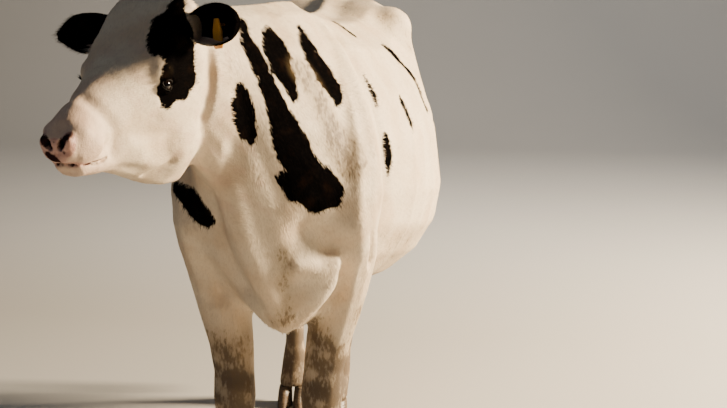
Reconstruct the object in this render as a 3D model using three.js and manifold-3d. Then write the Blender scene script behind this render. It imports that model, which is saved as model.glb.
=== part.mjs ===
// A Holstein dairy cow standing square, head up and turned a little to its right: a life-size still model.
// Millimetres, +Z up. The cow looks along -Y, its left side is +X, and it stands on the soles of its claws.
// Every part is a loft of rounded sections, joined, then divided by thin cuts into the parts a person would name.
import * as THREE from "three";
import { mergeVertices } from "three/addons/utils/BufferGeometryUtils.js";
import Module from "manifold-3d";

const wasm = await Module();
wasm.setup();

// Driving sizes
const GAP = 0.4; // clearance left wherever two parts meet
const SIDES = [["left", 1], ["right", -1]];
const EYE_RADIUS = 20;
const CLAW_TOP = 72; // height of the coronet, where skin gives way to horn
const DEWCLAW_HEIGHT = 122;
const KNEE_CUT = 478;
const HOCK_CUT = 628;

// Where the head is carried: its poll, and how far the face turns right, dips and leans.
const POLL = new THREE.Vector3(-200, -452, 1404);
const FACE_TURN = THREE.MathUtils.degToRad(-17);
const FACE_DIP = THREE.MathUtils.degToRad(17.5);
const FACE_LEAN = THREE.MathUtils.degToRad(-1);

const material = (color, roughness) => new THREE.MeshStandardMaterial({ color, roughness, metalness: 0 });
const HIDE = material(0xe9dfcf, 0.8);
const DARK_HIDE = material(0x1b1817, 0.7);
const HORN = material(0x5a4c3c, 0.55);
const UDDER_SKIN = material(0xe2b8a4, 0.65);
const EYE = material(0x120d0a, 0.08);
const TAG = material(0xf0a92a, 0.45);

// ---- Tools ---------------------------------------------------------------------------------------------------

// Reads a table of stations, each with its place in "at", as a smooth function of that place.
function smooth(stations) {
  const keys = Object.keys(stations[0]).filter((key) => key !== "at");
  const places = stations.map((station) => station.at);
  const values = stations.flatMap((station) => keys.map((key) => station[key]));
  const curve = new THREE.CubicInterpolant(places, values, keys.length, new Float64Array(keys.length));
  return (at) => {
    const found = curve.evaluate(at);
    return Object.fromEntries(keys.map((key, i) => [key, found[i]]));
  };
}

// Evenly spread places from one end of a table of stations to the other, both ends included.
function places(stations, count) {
  const first = stations[0].at;
  const last = stations.at(-1).at;
  return Array.from({ length: count }, (_, i) => THREE.MathUtils.lerp(first, last, i / (count - 1)));
}

const signedPower = (value, power) => Math.sign(value) * Math.abs(value) ** power;

// A closed ring of points on a rounded section: half width "wide" at height "mid", and "full" above and below,
// where 2 is an ellipse, more is boxy and less is ridged.
function outline({ wide, top, bottom, mid, full, fullBelow = full }, segments) {
  return Array.from({ length: segments }, (_, i) => {
    const angle = (i / segments) * 2 * Math.PI;
    const across = Math.cos(angle);
    const up = Math.sin(angle);
    const power = 2 / (up > 0 ? full : fullBelow);
    const reach = up > 0 ? top - mid : mid - bottom;
    return [wide * signedPower(across, power), mid + reach * signedPower(up, power)];
  });
}

// Skins a list of rings and closes both ends.
function loft(rings) {
  const count = rings[0].length;
  const points = rings.flat();
  const faces = [];
  const quad = (a, b, c, d) => faces.push(a, b, c, a, c, d);
  for (let r = 0; r + 1 < rings.length; r++)
    for (let i = 0; i < count; i++) {
      const next = (i + 1) % count;
      quad(r * count + i, r * count + next, (r + 1) * count + next, (r + 1) * count + i);
    }
  for (const [ring, start, flip] of [[rings[0], 0, true], [rings.at(-1), (rings.length - 1) * count, false]]) {
    const centre = points.push(ring.reduce((sum, p) => sum.add(p), new THREE.Vector3()).divideScalar(count)) - 1;
    for (let i = 0; i < count; i++) {
      const pair = [start + i, start + ((i + 1) % count)];
      faces.push(...(flip ? pair.reverse() : pair), centre);
    }
  }
  return new THREE.BufferGeometry().setFromPoints(points).setIndex(faces);
}

// A three.js geometry as a manifold-3d solid, turned right side out.
function solid(geometry) {
  const bare = geometry.clone();
  bare.deleteAttribute("normal");
  bare.deleteAttribute("uv");
  const merged = mergeVertices(bare, 1e-3);
  const build = (triVerts) =>
    new wasm.Manifold(new wasm.Mesh({ numProp: 3, vertProperties: merged.attributes.position.array, triVerts }));
  const triVerts = new Uint32Array(merged.index.array);
  const made = build(triVerts);
  return made.volume() > 0 ? made : build(triVerts.reverse());
}

function toGeometry(shape) {
  const { numProp, vertProperties, triVerts } = shape.getMesh();
  const position = new THREE.BufferAttribute(vertProperties, numProp);
  return new THREE.BufferGeometry().setAttribute("position", position).setIndex([...triVerts]);
}

// The same solid with every point moved out along its normal, as a cutter that leaves a gap.
function grown(shape, by = GAP) {
  const geometry = toGeometry(shape);
  geometry.computeVertexNormals();
  const { position, normal } = geometry.attributes;
  const point = new THREE.Vector3();
  for (let i = 0; i < position.count; i++) {
    point.fromBufferAttribute(position, i).addScaledVector(new THREE.Vector3().fromBufferAttribute(normal, i), by);
    position.setXYZ(i, point.x, point.y, point.z);
  }
  geometry.deleteAttribute("normal");
  return solid(geometry);
}

const joined = (shapes) => shapes.reduce((sum, shape) => sum.add(shape));
const largest = (shape) => shape.decompose().reduce((best, one) => (one.volume() > best.volume() ? one : best));

// A block much larger than the cow, with its lower face through "point", square to "normal".
function halfSpace(point, normal) {
  const reach = 4000;
  const block = new THREE.BoxGeometry(reach, reach, reach).translate(0, 0, reach / 2);
  block.applyQuaternion(new THREE.Quaternion().setFromUnitVectors(new THREE.Vector3(0, 0, 1), normal));
  return solid(block.translate(point.x, point.y, point.z));
}

// Divides a solid by a thin cut: what lies on the side the normal points to, then the rest.
function parted(shape, point, normal) {
  const side = normal.clone().normalize();
  const beyond = point.clone().addScaledVector(side, GAP);
  return [largest(shape.intersect(halfSpace(beyond, side))), largest(shape.subtract(halfSpace(point, side)))];
}

function ellipsoid(radii, centre, segments = 16) {
  return new THREE.SphereGeometry(1, segments, Math.round(segments * 0.6)).scale(...radii).translate(...centre);
}

const group = new THREE.Group();

function add(name, shape, look) {
  const mesh = new THREE.Mesh(toGeometry(shape), look);
  mesh.name = name;
  group.add(mesh);
}

// ---- Neck and trunk ------------------------------------------------------------------------------------------
// Sections square to Y. "topX" and "bottomX" lean the section sideways, which turns the neck.

const TORSO = [
  { at: -480, top: 1440, bottom: 1165, wide: 84, mid: 1310, full: 2.0, fullBelow: 2.0, topX: -158, bottomX: -150 },
  { at: -400, top: 1450, bottom: 1060, wide: 92, mid: 1270, full: 2.0, fullBelow: 1.9, topX: -122, bottomX: -100 },
  { at: -320, top: 1455, bottom: 905, wide: 118, mid: 1150, full: 1.9, fullBelow: 1.7, topX: -84, bottomX: -44 },
  { at: -245, top: 1458, bottom: 722, wide: 168, mid: 1010, full: 1.65, fullBelow: 1.6, topX: -52, bottomX: 4 },
  { at: -160, top: 1460, bottom: 615, wide: 212, mid: 965, full: 1.6, fullBelow: 1.5, topX: -26, bottomX: 30 },
  { at: -50, top: 1462, bottom: 612, wide: 232, mid: 955, full: 1.65, fullBelow: 1.6, topX: -8, bottomX: 20 },
  { at: 90, top: 1460, bottom: 640, wide: 252, mid: 950, full: 1.75, fullBelow: 1.9, topX: 0, bottomX: 0 },
  { at: 250, top: 1440, bottom: 640, wide: 300, mid: 935, full: 1.85, fullBelow: 2.1, topX: 0, bottomX: 0 },
  { at: 450, top: 1420, bottom: 605, wide: 356, mid: 910, full: 1.95, fullBelow: 2.1, topX: 0, bottomX: 0 },
  { at: 650, top: 1415, bottom: 578, wide: 386, mid: 895, full: 2.0, fullBelow: 2.1, topX: 0, bottomX: 0 },
  { at: 840, top: 1424, bottom: 592, wide: 370, mid: 905, full: 2.25, fullBelow: 2.1, topX: 0, bottomX: 0 },
  { at: 1000, top: 1455, bottom: 668, wide: 320, mid: 960, full: 3.3, fullBelow: 2.1, topX: 0, bottomX: 0 },
  { at: 1150, top: 1464, bottom: 790, wide: 282, mid: 1080, full: 3.2, fullBelow: 2.0, topX: 0, bottomX: 0 },
  { at: 1300, top: 1450, bottom: 900, wide: 238, mid: 1140, full: 2.6, fullBelow: 2.0, topX: 0, bottomX: 0 },
  { at: 1400, top: 1405, bottom: 1010, wide: 182, mid: 1215, full: 2.2, fullBelow: 2.0, topX: 0, bottomX: 0 },
  { at: 1445, top: 1350, bottom: 1120, wide: 118, mid: 1235, full: 2.0, fullBelow: 2.0, topX: 0, bottomX: 0 },
];

function torsoSolid() {
  const shape = smooth(TORSO);
  const rings = places(TORSO, 20).map((y) => {
    const section = shape(y);
    return outline(section, 20).map(([x, z]) => {
      const height = (z - section.bottom) / (section.top - section.bottom);
      return new THREE.Vector3(x + THREE.MathUtils.lerp(section.bottomX, section.topX, height), y, z);
    });
  });
  return solid(loft(rings));
}

// Hip and pin bones, which stand out at the corners of the rump.
const RUMP_BONES = [
  { radii: [88, 116, 78], centre: [196, 1015, 1360] },
  { radii: [52, 74, 56], centre: [126, 1386, 1306] },
];

function rumpBones() {
  return SIDES.flatMap(([, side]) =>
    RUMP_BONES.map(({ radii, centre: [x, y, z] }) => solid(ellipsoid(radii, [side * x, y, z], 10))),
  );
}

// ---- Legs ----------------------------------------------------------------------------------------------------
// Sections are level. "wide" and "deep" are half sizes across and along the cow, about the point (x, y).

const FORELEG = [
  { at: 1395, x: 72, y: 98, wide: 34, deep: 74 },
  { at: 1290, x: 124, y: 70, wide: 58, deep: 132 },
  { at: 1150, x: 168, y: 20, wide: 78, deep: 170 },
  { at: 1000, x: 184, y: -40, wide: 86, deep: 168 },
  { at: 900, x: 178, y: -48, wide: 90, deep: 150 },
  { at: 820, x: 170, y: -18, wide: 88, deep: 128 },
  { at: 740, x: 158, y: 6, wide: 82, deep: 108 },
  { at: 650, x: 143, y: 8, wide: 73, deep: 84 },
  { at: 560, x: 124, y: 4, wide: 61, deep: 66 },
  { at: 490, x: 114, y: -4, wide: 54, deep: 56 },
  { at: 435, x: 110, y: -12, wide: 56, deep: 57 },
  { at: 385, x: 109, y: -14, wide: 57, deep: 58 },
  { at: 335, x: 109, y: -6, wide: 46, deep: 48 },
  { at: 280, x: 110, y: 2, wide: 38, deep: 43 },
  { at: 210, x: 112, y: 5, wide: 36, deep: 42 },
  { at: 152, x: 114, y: 6, wide: 47, deep: 50 },
  { at: 112, x: 115, y: -6, wide: 44, deep: 46 },
  { at: CLAW_TOP, x: 116, y: -24, wide: 54, deep: 56 },
];

const HINDLEG = [
  { at: 1330, x: 118, y: 1200, wide: 92, deep: 120 },
  { at: 1210, x: 156, y: 1200, wide: 112, deep: 196 },
  { at: 1080, x: 172, y: 1192, wide: 118, deep: 232 },
  { at: 960, x: 176, y: 1172, wide: 108, deep: 224 },
  { at: 860, x: 172, y: 1168, wide: 92, deep: 190 },
  { at: 760, x: 166, y: 1208, wide: 70, deep: 136 },
  { at: 680, x: 160, y: 1262, wide: 54, deep: 98 },
  { at: 610, x: 156, y: 1312, wide: 43, deep: 74 },
  { at: 560, x: 154, y: 1326, wide: 44, deep: 70 },
  { at: 505, x: 153, y: 1318, wide: 47, deep: 60 },
  { at: 440, x: 152, y: 1306, wide: 39, deep: 49 },
  { at: 360, x: 152, y: 1298, wide: 33, deep: 43 },
  { at: 260, x: 152, y: 1292, wide: 32, deep: 42 },
  { at: 200, x: 152, y: 1290, wide: 35, deep: 43 },
  { at: 150, x: 152, y: 1288, wide: 45, deep: 49 },
  { at: 110, x: 152, y: 1275, wide: 42, deep: 45 },
  { at: CLAW_TOP, x: 152, y: 1256, wide: 51, deep: 53 },
];

// How far each foot stands from the even stance: outwards, and backwards.
const LEGS = [
  { name: "fore_left", side: 1, stations: FORELEG, cut: KNEE_CUT, rings: 20, out: -12, back: 14 },
  { name: "fore_right", side: -1, stations: FORELEG, cut: KNEE_CUT, rings: 20, out: 30, back: -22 },
  { name: "hind_left", side: 1, stations: HINDLEG, cut: HOCK_CUT, rings: 17, out: -165, back: -140 },
  { name: "hind_right", side: -1, stations: HINDLEG, cut: HOCK_CUT, rings: 17, out: 10, back: 30 },
];
const STANCE_TOP = 1150; // above this the stance doesn't move the leg

function stanceShift(leg, z) {
  const share = THREE.MathUtils.clamp(1 - z / STANCE_TOP, 0, 1) ** 1.15;
  return { x: leg.side * leg.out * share, y: leg.back * share };
}

// The middle of the leg at the coronet's section, carried by the stance to the height "z".
function legCentre(leg, z) {
  const coronet = leg.stations.at(-1);
  const shift = stanceShift(leg, z);
  return { x: leg.side * coronet.x + shift.x, y: coronet.y + shift.y };
}

function legSolid(leg) {
  const stations = leg.stations.toReversed();
  const shape = smooth(stations);
  const rings = places(stations, leg.rings).map((z) => {
    const section = shape(z);
    const shift = stanceShift(leg, z);
    const ring = outline({ wide: section.wide, top: section.deep, bottom: -section.deep, mid: 0, full: 2.15 }, 12);
    return ring.map(([x, y]) => new THREE.Vector3(leg.side * section.x + x + shift.x, section.y + y + shift.y, z));
  });
  return solid(loft(rings));
}

// One claw of a cloven hoof: a flat sole, a steep front wall that runs down to the toe, and a flat inner side.
const CLAW = [
  { at: 0, y: -34, wide: 27, deep: 62 },
  { at: 26, y: -28, wide: 26.5, deep: 56 },
  { at: 50, y: -16, wide: 25, deep: 47 },
  { at: CLAW_TOP - GAP, y: -3, wide: 23, deep: 40 },
];

function clawSolid(foot, across) {
  const shape = smooth(CLAW);
  const rings = places(CLAW, 4).map((z) => {
    const { y, wide, deep } = shape(z);
    return outline({ wide, top: deep, bottom: -deep, mid: 0, full: 2.4, fullBelow: 1.75 }, 10).map(
      ([x, along]) => new THREE.Vector3(foot.x + across * 28 + x, foot.y + y + along, z),
    );
  });
  return solid(loft(rings));
}

function dewclawSolid(foot, across) {
  const cone = new THREE.ConeGeometry(15, 34, 6).rotateX(THREE.MathUtils.degToRad(-125));
  return solid(cone.translate(foot.x + across * 25, foot.y + 64, DEWCLAW_HEIGHT));
}

// ---- Head ----------------------------------------------------------------------------------------------------
// The head's own frame has its origin at the poll, looks along -Y, and "at" runs from the poll to the muzzle.

const headFrame = new THREE.Matrix4()
  .makeTranslation(POLL)
  .multiply(new THREE.Matrix4().makeRotationZ(FACE_TURN))
  .multiply(new THREE.Matrix4().makeRotationX(FACE_DIP))
  .multiply(new THREE.Matrix4().makeRotationY(FACE_LEAN));

const inHead = (geometry) => solid(geometry.applyMatrix4(headFrame));

const SKULL = [
  { at: -62, top: 14, bottom: -140, wide: 66, mid: -60, full: 2.2, fullBelow: 2.2 },
  { at: -25, top: 80, bottom: -180, wide: 104, mid: -34, full: 2.8, fullBelow: 2.8 },
  { at: 18, top: 93, bottom: -205, wide: 116, mid: -24, full: 3.2, fullBelow: 3.2 },
  { at: 70, top: 68, bottom: -215, wide: 115, mid: -30, full: 3.4, fullBelow: 3.4 },
  { at: 130, top: 37, bottom: -215, wide: 107, mid: -44, full: 3.4, fullBelow: 3.4 },
  { at: 185, top: 15, bottom: -205, wide: 98, mid: -58, full: 3.0, fullBelow: 3.0 },
  { at: 235, top: 5, bottom: -190, wide: 82, mid: -68, full: 2.5, fullBelow: 2.5 },
  { at: 290, top: -4, bottom: -172, wide: 64, mid: -78, full: 2.2, fullBelow: 2.2 },
  { at: 345, top: -13, bottom: -155, wide: 52, mid: -86, full: 2.1, fullBelow: 2.1 },
  { at: 392, top: -23, bottom: -146, wide: 48, mid: -94, full: 2.0, fullBelow: 2.0 },
  { at: 436, top: -35, bottom: -140, wide: 51, mid: -98, full: 1.9, fullBelow: 2.3 },
  { at: 468, top: -52, bottom: -133, wide: 47, mid: -98, full: 2.0, fullBelow: 2.3 },
  { at: 482, top: -70, bottom: -118, wide: 34, mid: -95, full: 2.1, fullBelow: 2.2 },
];

const JAW = [
  { at: -10, top: -120, bottom: -262, wide: 56, mid: -174, full: 2.0 },
  { at: 30, top: -105, bottom: -314, wide: 76, mid: -180, full: 2.1 },
  { at: 90, top: -90, bottom: -338, wide: 84, mid: -185, full: 2.2 },
  { at: 160, top: -90, bottom: -322, wide: 80, mid: -182, full: 2.1 },
  { at: 230, top: -100, bottom: -278, wide: 68, mid: -174, full: 2.0 },
  { at: 295, top: -105, bottom: -232, wide: 56, mid: -162, full: 2.0 },
  { at: 360, top: -110, bottom: -194, wide: 46, mid: -152, full: 2.0 },
  { at: 410, top: -115, bottom: -180, wide: 43, mid: -148, full: 2.1 },
  { at: 446, top: -120, bottom: -172, wide: 38, mid: -146, full: 2.1 },
  { at: 462, top: -128, bottom: -160, wide: 28, mid: -144, full: 2.0 },
];

function headLoft(stations, rings, segments) {
  const shape = smooth(stations);
  return inHead(
    loft(
      places(stations, rings).map((at) => outline(shape(at), segments).map(([x, z]) => new THREE.Vector3(x, -at, z))),
    ),
  );
}

const EYE_PLACE = { at: 186, out: 88, up: -64 };

function headSolids() {
  const base = joined([headLoft(SKULL, 15, 18), headLoft(JAW, 9, 10)]);
  const bulges = SIDES.flatMap(([, side]) => [
    inHead(ellipsoid([24, 50, 40], [side * 82, -166, -44], 10)), // brow and rim of the eye socket
    inHead(ellipsoid([32, 88, 92], [side * 62, -106, -190], 10)), // chewing muscle
    inHead(ellipsoid([44, 62, 88], [side * 70, -6, -176], 10)), // swelling behind the jaw
    inHead(ellipsoid([24, 48, 32], [side * 32, -420, -108], 8)), // upper lip
    inHead(ellipsoid([17, 34, 26], [side * 25, -446, -80], 8)), // wing of the nostril
  ]);
  return joined([base, ...bulges]);
}

function eyeSolid(side) {
  return inHead(
    ellipsoid([EYE_RADIUS, EYE_RADIUS, EYE_RADIUS], [side * EYE_PLACE.out, -EYE_PLACE.at, EYE_PLACE.up], 12),
  );
}

// The almond opening between the lids.
function lidCutter(side) {
  const opening = ellipsoid([22, 24, 13], [0, 0, 0], 10).rotateX(0.25);
  return inHead(opening.translate(side * (EYE_PLACE.out + 19), -EYE_PLACE.at, EYE_PLACE.up));
}

function nostrilCutter(side) {
  const pocket = ellipsoid([11, 24, 14], [0, 0, 0], 8).rotateZ(side * 0.5);
  return inHead(pocket.translate(side * 23, -478, -76));
}

// The slit of the closed mouth, a thin bent sheet between the lips.
function mouthCutter() {
  const line = new THREE.CatmullRomCurve3([
    new THREE.Vector3(0, -385, -134),
    new THREE.Vector3(0, -425, -138),
    new THREE.Vector3(0, -500, -133),
  ]);
  const section = new THREE.Shape([
    new THREE.Vector2(-90, -1.5),
    new THREE.Vector2(90, -1.5),
    new THREE.Vector2(90, 1.5),
    new THREE.Vector2(-90, 1.5),
  ]);
  return inHead(new THREE.ExtrudeGeometry(section, { steps: 6, extrudePath: line }));
}

// An ear is a leaf rolled round its own length: nearly a tube at the root, open and broad, then a blunt tip.
const EAR = [
  { at: 0, radius: 27, open: 60, thick: 12 },
  { at: 35, radius: 35, open: 100, thick: 9 },
  { at: 80, radius: 46, open: 150, thick: 8 },
  { at: 125, radius: 47, open: 185, thick: 7 },
  { at: 160, radius: 38, open: 210, thick: 6.5 },
  { at: 184, radius: 22, open: 235, thick: 6 },
  { at: 196, radius: 9, open: 250, thick: 5 },
];
const EAR_ROOT = { out: 84, at: 20, up: 6 };
// The ears' lie in the head's frame: how far each points forwards and upwards, and how far its mouth rolls down.
const EAR_POSE = {
  left: { forwards: 30, upwards: 14, roll: -20 },
  right: { forwards: 0, upwards: -6, roll: -10 },
};

// Carries a shape from an ear's own frame, where the ear runs along +X and opens to -Y, onto the head.
function inEar(name, side, geometry) {
  const { forwards, upwards, roll } = EAR_POSE[name];
  const turn = new THREE.Euler(
    THREE.MathUtils.degToRad(roll),
    THREE.MathUtils.degToRad(-upwards),
    THREE.MathUtils.degToRad(-forwards),
    "ZYX",
  );
  geometry.applyMatrix4(new THREE.Matrix4().makeRotationFromEuler(turn));
  geometry.translate(EAR_ROOT.out, -EAR_ROOT.at, EAR_ROOT.up).scale(side, 1, 1);
  return inHead(geometry);
}

function earSolid(name, side) {
  const shape = smooth(EAR);
  const half = 6;
  const rings = places(EAR, 9).map((at) => {
    const { radius, open, thick } = shape(at);
    const span = THREE.MathUtils.degToRad(360 - open) / 2;
    const arc = (r, direction) =>
      Array.from({ length: half }, (_, i) => {
        const angle = direction * THREE.MathUtils.lerp(-span, span, i / (half - 1));
        return new THREE.Vector3(at, r * Math.cos(angle), r * Math.sin(angle));
      });
    return [...arc(radius, 1), ...arc(Math.max(radius - thick, 1), -1)];
  });
  return inEar(name, side, loft(rings));
}

// A plain two-part tag through the back wall of the left ear: a panel inside, a pin, and a button outside.
const TAG_SIZE = { wide: 38, high: 52, thick: 3 };
const TAG_PLACE = { at: 82, fromAxis: 24, round: 6 }; // along the ear, out from its axis, and round it in degrees
const TAG_REACH = 26; // from the panel through the ear to the far face of the button

function tagSolid() {
  const { wide, high, thick } = TAG_SIZE;
  const corner = 8;
  const panel = new THREE.Shape();
  panel.moveTo(-wide / 2, -high + corner);
  panel.quadraticCurveTo(-wide / 2, -high, -wide / 2 + corner, -high);
  panel.lineTo(wide / 2 - corner, -high);
  panel.quadraticCurveTo(wide / 2, -high, wide / 2, -high + corner);
  panel.lineTo(wide / 2, -wide / 3);
  panel.lineTo(9, 14);
  panel.lineTo(-9, 14);
  panel.lineTo(-wide / 2, -wide / 3);
  const pieces = [
    new THREE.ExtrudeGeometry(panel, { depth: thick, bevelEnabled: false, curveSegments: 2 }),
    new THREE.CylinderGeometry(4, 4, TAG_REACH, 8).rotateX(Math.PI / 2).translate(0, 0, 1 - TAG_REACH / 2),
    new THREE.CylinderGeometry(12, 12, 4, 10).rotateX(Math.PI / 2).translate(0, 0, 2 - TAG_REACH),
  ];
  const round = THREE.MathUtils.degToRad(TAG_PLACE.round);
  const place = [TAG_PLACE.at, TAG_PLACE.fromAxis * Math.cos(round), TAG_PLACE.fromAxis * Math.sin(round)];
  return joined(pieces.map((piece) => inEar("left", 1, piece.rotateX(Math.PI / 2 + round).translate(...place))));
}

// ---- Udder and tail ------------------------------------------------------------------------------------------

const UDDER = [
  { at: 840, top: 690, bottom: 612, wide: 80, mid: 650, full: 2.2 },
  { at: 920, top: 760, bottom: 556, wide: 148, mid: 650, full: 2.3 },
  { at: 1020, top: 800, bottom: 520, wide: 172, mid: 650, full: 2.3 },
  { at: 1130, top: 840, bottom: 514, wide: 172, mid: 660, full: 2.3 },
  { at: 1240, top: 900, bottom: 530, wide: 150, mid: 680, full: 2.3 },
  { at: 1330, top: 960, bottom: 590, wide: 104, mid: 760, full: 2.2 },
  { at: 1372, top: 960, bottom: 680, wide: 60, mid: 820, full: 2.0 },
];
const TEATS = [
  { name: "fore", x: 78, y: 990, top: 545 },
  { name: "rear", x: 62, y: 1150, top: 540 },
];
const TEAT_PROFILE = [[0, -78], [7, -77], [11, -68], [12.5, -40], [14, -10], [17, 12], [0, 12]];

function udderSolid() {
  const shape = smooth(UDDER);
  return solid(
    loft(places(UDDER, 9).map((y) => outline(shape(y), 14).map(([x, z]) => new THREE.Vector3(x, y, z)))),
  );
}

function teatSolid(teat, side) {
  const profile = TEAT_PROFILE.map(([x, y]) => new THREE.Vector2(x, y));
  const lathe = new THREE.LatheGeometry(profile, 8).rotateX(Math.PI / 2);
  return solid(lathe.translate(side * teat.x, teat.y, teat.top));
}

const TAIL_PATH = new THREE.CatmullRomCurve3([
  new THREE.Vector3(0, 1330, 1392),
  new THREE.Vector3(0, 1430, 1392),
  new THREE.Vector3(0, 1486, 1340),
  new THREE.Vector3(0, 1500, 1230),
  new THREE.Vector3(2, 1494, 1040),
  new THREE.Vector3(8, 1484, 850),
  new THREE.Vector3(14, 1478, 690),
  new THREE.Vector3(18, 1478, 560),
  new THREE.Vector3(20, 1482, 440),
  new THREE.Vector3(22, 1488, 330),
]);
const TAIL_GIRTH = [
  { at: 0, radius: 46 },
  { at: 0.1, radius: 38 },
  { at: 0.2, radius: 29 },
  { at: 0.4, radius: 20 },
  { at: 0.6, radius: 16 },
  { at: 0.68, radius: 17 },
];
const SWITCH_GIRTH = [
  { at: 0.68, radius: 17 },
  { at: 0.74, radius: 34 },
  { at: 0.84, radius: 46 },
  { at: 0.93, radius: 34 },
  { at: 1, radius: 8 },
];

function tailPiece(girth, rings) {
  const shape = smooth(girth);
  return solid(
    loft(
      places(girth, rings).map((t) => {
        const centre = TAIL_PATH.getPointAt(t);
        const along = TAIL_PATH.getTangentAt(t);
        const across = new THREE.Vector3(1, 0, 0);
        const outwards = new THREE.Vector3().crossVectors(along, across).normalize();
        return outline({ wide: 1, top: 1, bottom: -1, mid: 0, full: 2 }, 10).map(([x, z]) =>
          centre
            .clone()
            .addScaledVector(across, x * shape(t).radius)
            .addScaledVector(outwards, z * shape(t).radius),
        );
      }),
    ),
  );
}

// ---- The cow -------------------------------------------------------------------------------------------------

const legs = LEGS.map((leg) => ({ ...leg, whole: legSolid(leg) }));
const wholeHead = headSolids();
const tail = tailPiece(TAIL_GIRTH, 12);
const torso = joined([torsoSolid(), ...rumpBones()]);

// The neck is parted from the trunk along the front of the shoulder.
const SHOULDER_FRONT = new THREE.Vector3(0, -130, 1050);
const [trunkWhole, neckWhole] = parted(torso, SHOULDER_FRONT, new THREE.Vector3(0, 0.95, 0.32));

const legCutters = legs.map((leg) => grown(leg.whole));
const eyes = SIDES.map(([name, side]) => ({ name, ball: eyeSolid(side) }));
const trunk = largest(trunkWhole.subtract(joined([...legCutters, grown(tail)])));
const neck = largest(neckWhole.subtract(joined([...legCutters, grown(wholeHead)])));
const hollows = [
  mouthCutter(),
  ...SIDES.flatMap(([, side]) => [nostrilCutter(side), lidCutter(side)]),
  ...eyes.map(({ ball }) => grown(ball)),
];
const head = largest(wholeHead.subtract(joined(hollows)));

add("trunk", trunk, HIDE);
add("neck", neck, HIDE);
add("head", head, HIDE);
for (const { name, ball } of eyes) add(`eye_${name}`, ball, EYE);
const tag = tagSolid();
const earCutter = joined([grown(wholeHead), grown(neck), grown(tag)]);
for (const [name, side] of SIDES)
  add(`ear_${name}`, largest(earSolid(name, side).subtract(earCutter)), DARK_HIDE);
add("ear_tag", tag, TAG);

for (const leg of legs) {
  const [upper, lower] = parted(leg.whole, new THREE.Vector3(0, 0, leg.cut), new THREE.Vector3(0, 0, 1));
  add(`${leg.name}_upper`, upper, HIDE);
  add(`${leg.name}_lower`, lower, HIDE);
  const foot = legCentre(leg, CLAW_TOP);
  for (const [name, across] of [["inner", -leg.side], ["outer", leg.side]]) {
    add(`${leg.name}_claw_${name}`, clawSolid(foot, across), HORN);
    const spur = dewclawSolid(legCentre(leg, DEWCLAW_HEIGHT), across);
    add(`${leg.name}_dewclaw_${name}`, largest(spur.subtract(grown(leg.whole))), HORN);
  }
}

const udder = largest(udderSolid().subtract(joined([...legCutters, grown(trunkWhole)])));
add("udder", udder, UDDER_SKIN);
for (const teat of TEATS)
  for (const [name, side] of SIDES)
    add(`teat_${teat.name}_${name}`, largest(teatSolid(teat, side).subtract(grown(udder))), UDDER_SKIN);

add("tail", tail, HIDE);
const tailSwitch = largest(tailPiece(SWITCH_GIRTH, 8).subtract(grown(tail)));
add("tail_switch", tailSwitch, HIDE);

// The origin is on the floor, under the middle of the whole model.
const box = new THREE.Box3().setFromObject(group);
const middle = box.getCenter(new THREE.Vector3());
group.position.set(-middle.x, -middle.y, -box.min.z);

export default group;
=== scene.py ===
"""Looks for the cow: one skin over the nodes of flesh, its coat, eyes, claws and tail hair, with the black
patches and the mud worked out from named strokes. Lengths are metres. "Cow coordinates" have x = 0 on the
middle of the back, y = 0 at the forelegs and z = 0 on the floor; the cow looks along -y with its left side at
+x. "Head coordinates" are left, back and up from the poll, and turn with the face."""

import math

import bmesh
import bpy
import numpy as np
import openvdb as vdb
from mathutils import Matrix, Vector


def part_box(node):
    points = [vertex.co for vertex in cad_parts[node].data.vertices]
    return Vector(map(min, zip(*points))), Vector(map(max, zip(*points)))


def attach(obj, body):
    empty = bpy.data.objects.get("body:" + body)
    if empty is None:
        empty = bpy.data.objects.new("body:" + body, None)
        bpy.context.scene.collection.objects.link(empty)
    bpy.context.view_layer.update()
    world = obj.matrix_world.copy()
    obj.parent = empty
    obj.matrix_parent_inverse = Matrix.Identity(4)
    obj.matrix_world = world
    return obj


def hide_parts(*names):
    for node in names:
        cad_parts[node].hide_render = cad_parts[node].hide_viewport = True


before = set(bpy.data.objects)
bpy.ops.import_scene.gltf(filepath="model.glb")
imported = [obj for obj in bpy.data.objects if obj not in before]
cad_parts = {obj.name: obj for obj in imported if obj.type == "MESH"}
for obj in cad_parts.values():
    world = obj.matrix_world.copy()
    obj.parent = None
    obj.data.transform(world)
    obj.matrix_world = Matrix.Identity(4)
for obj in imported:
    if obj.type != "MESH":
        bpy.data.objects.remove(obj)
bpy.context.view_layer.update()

# ---- Places ----
POLL = np.array([-0.200, -0.452, 1.404])  # the top of the head between the ears, in cow coordinates
FACE_TURN, FACE_DIP, FACE_LEAN = (math.radians(a) for a in (-17, 17.5, -1))
EYE = np.array([0.088, -0.186, -0.064])  # the left eye's centre in head coordinates
EYE_RADIUS = 0.020
SIDES = {"left": 1, "right": -1}


def rotation(*turns):
    """Turns in radians about named axes, the last one first, as a 3 by 3 array."""
    made = Matrix.Identity(3)
    for angle, axis in turns:
        made = made @ Matrix.Rotation(angle, 3, axis)
    return np.array(made)


HEAD_AXES = rotation((FACE_TURN, "Z"), (FACE_DIP, "X"), (FACE_LEAN, "Y"))


def to_head(p):
    return (p - POLL) @ HEAD_AXES


def from_head(p):
    return p @ HEAD_AXES.T + POLL


def on_side(p, side):
    """A place given for the left side, or its mirror image where side is -1."""
    return np.asarray(p) * np.array([side, 1, 1])


def to_left(p):
    """The places, with those of the right side mirrored onto the left."""
    return np.column_stack([np.abs(p[:, 0]), p[:, 1:]])


def eye_distance(local):
    """From places in head coordinates to the nearer eye's centre."""
    return np.linalg.norm(to_left(local) - EYE, axis=1)


def box_middle(node):
    low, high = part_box(node)
    return (np.array(low) + np.array(high)) / 2


OFFSET = box_middle("eye_left") - from_head(EYE)  # from cow coordinates to the frame's


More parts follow.
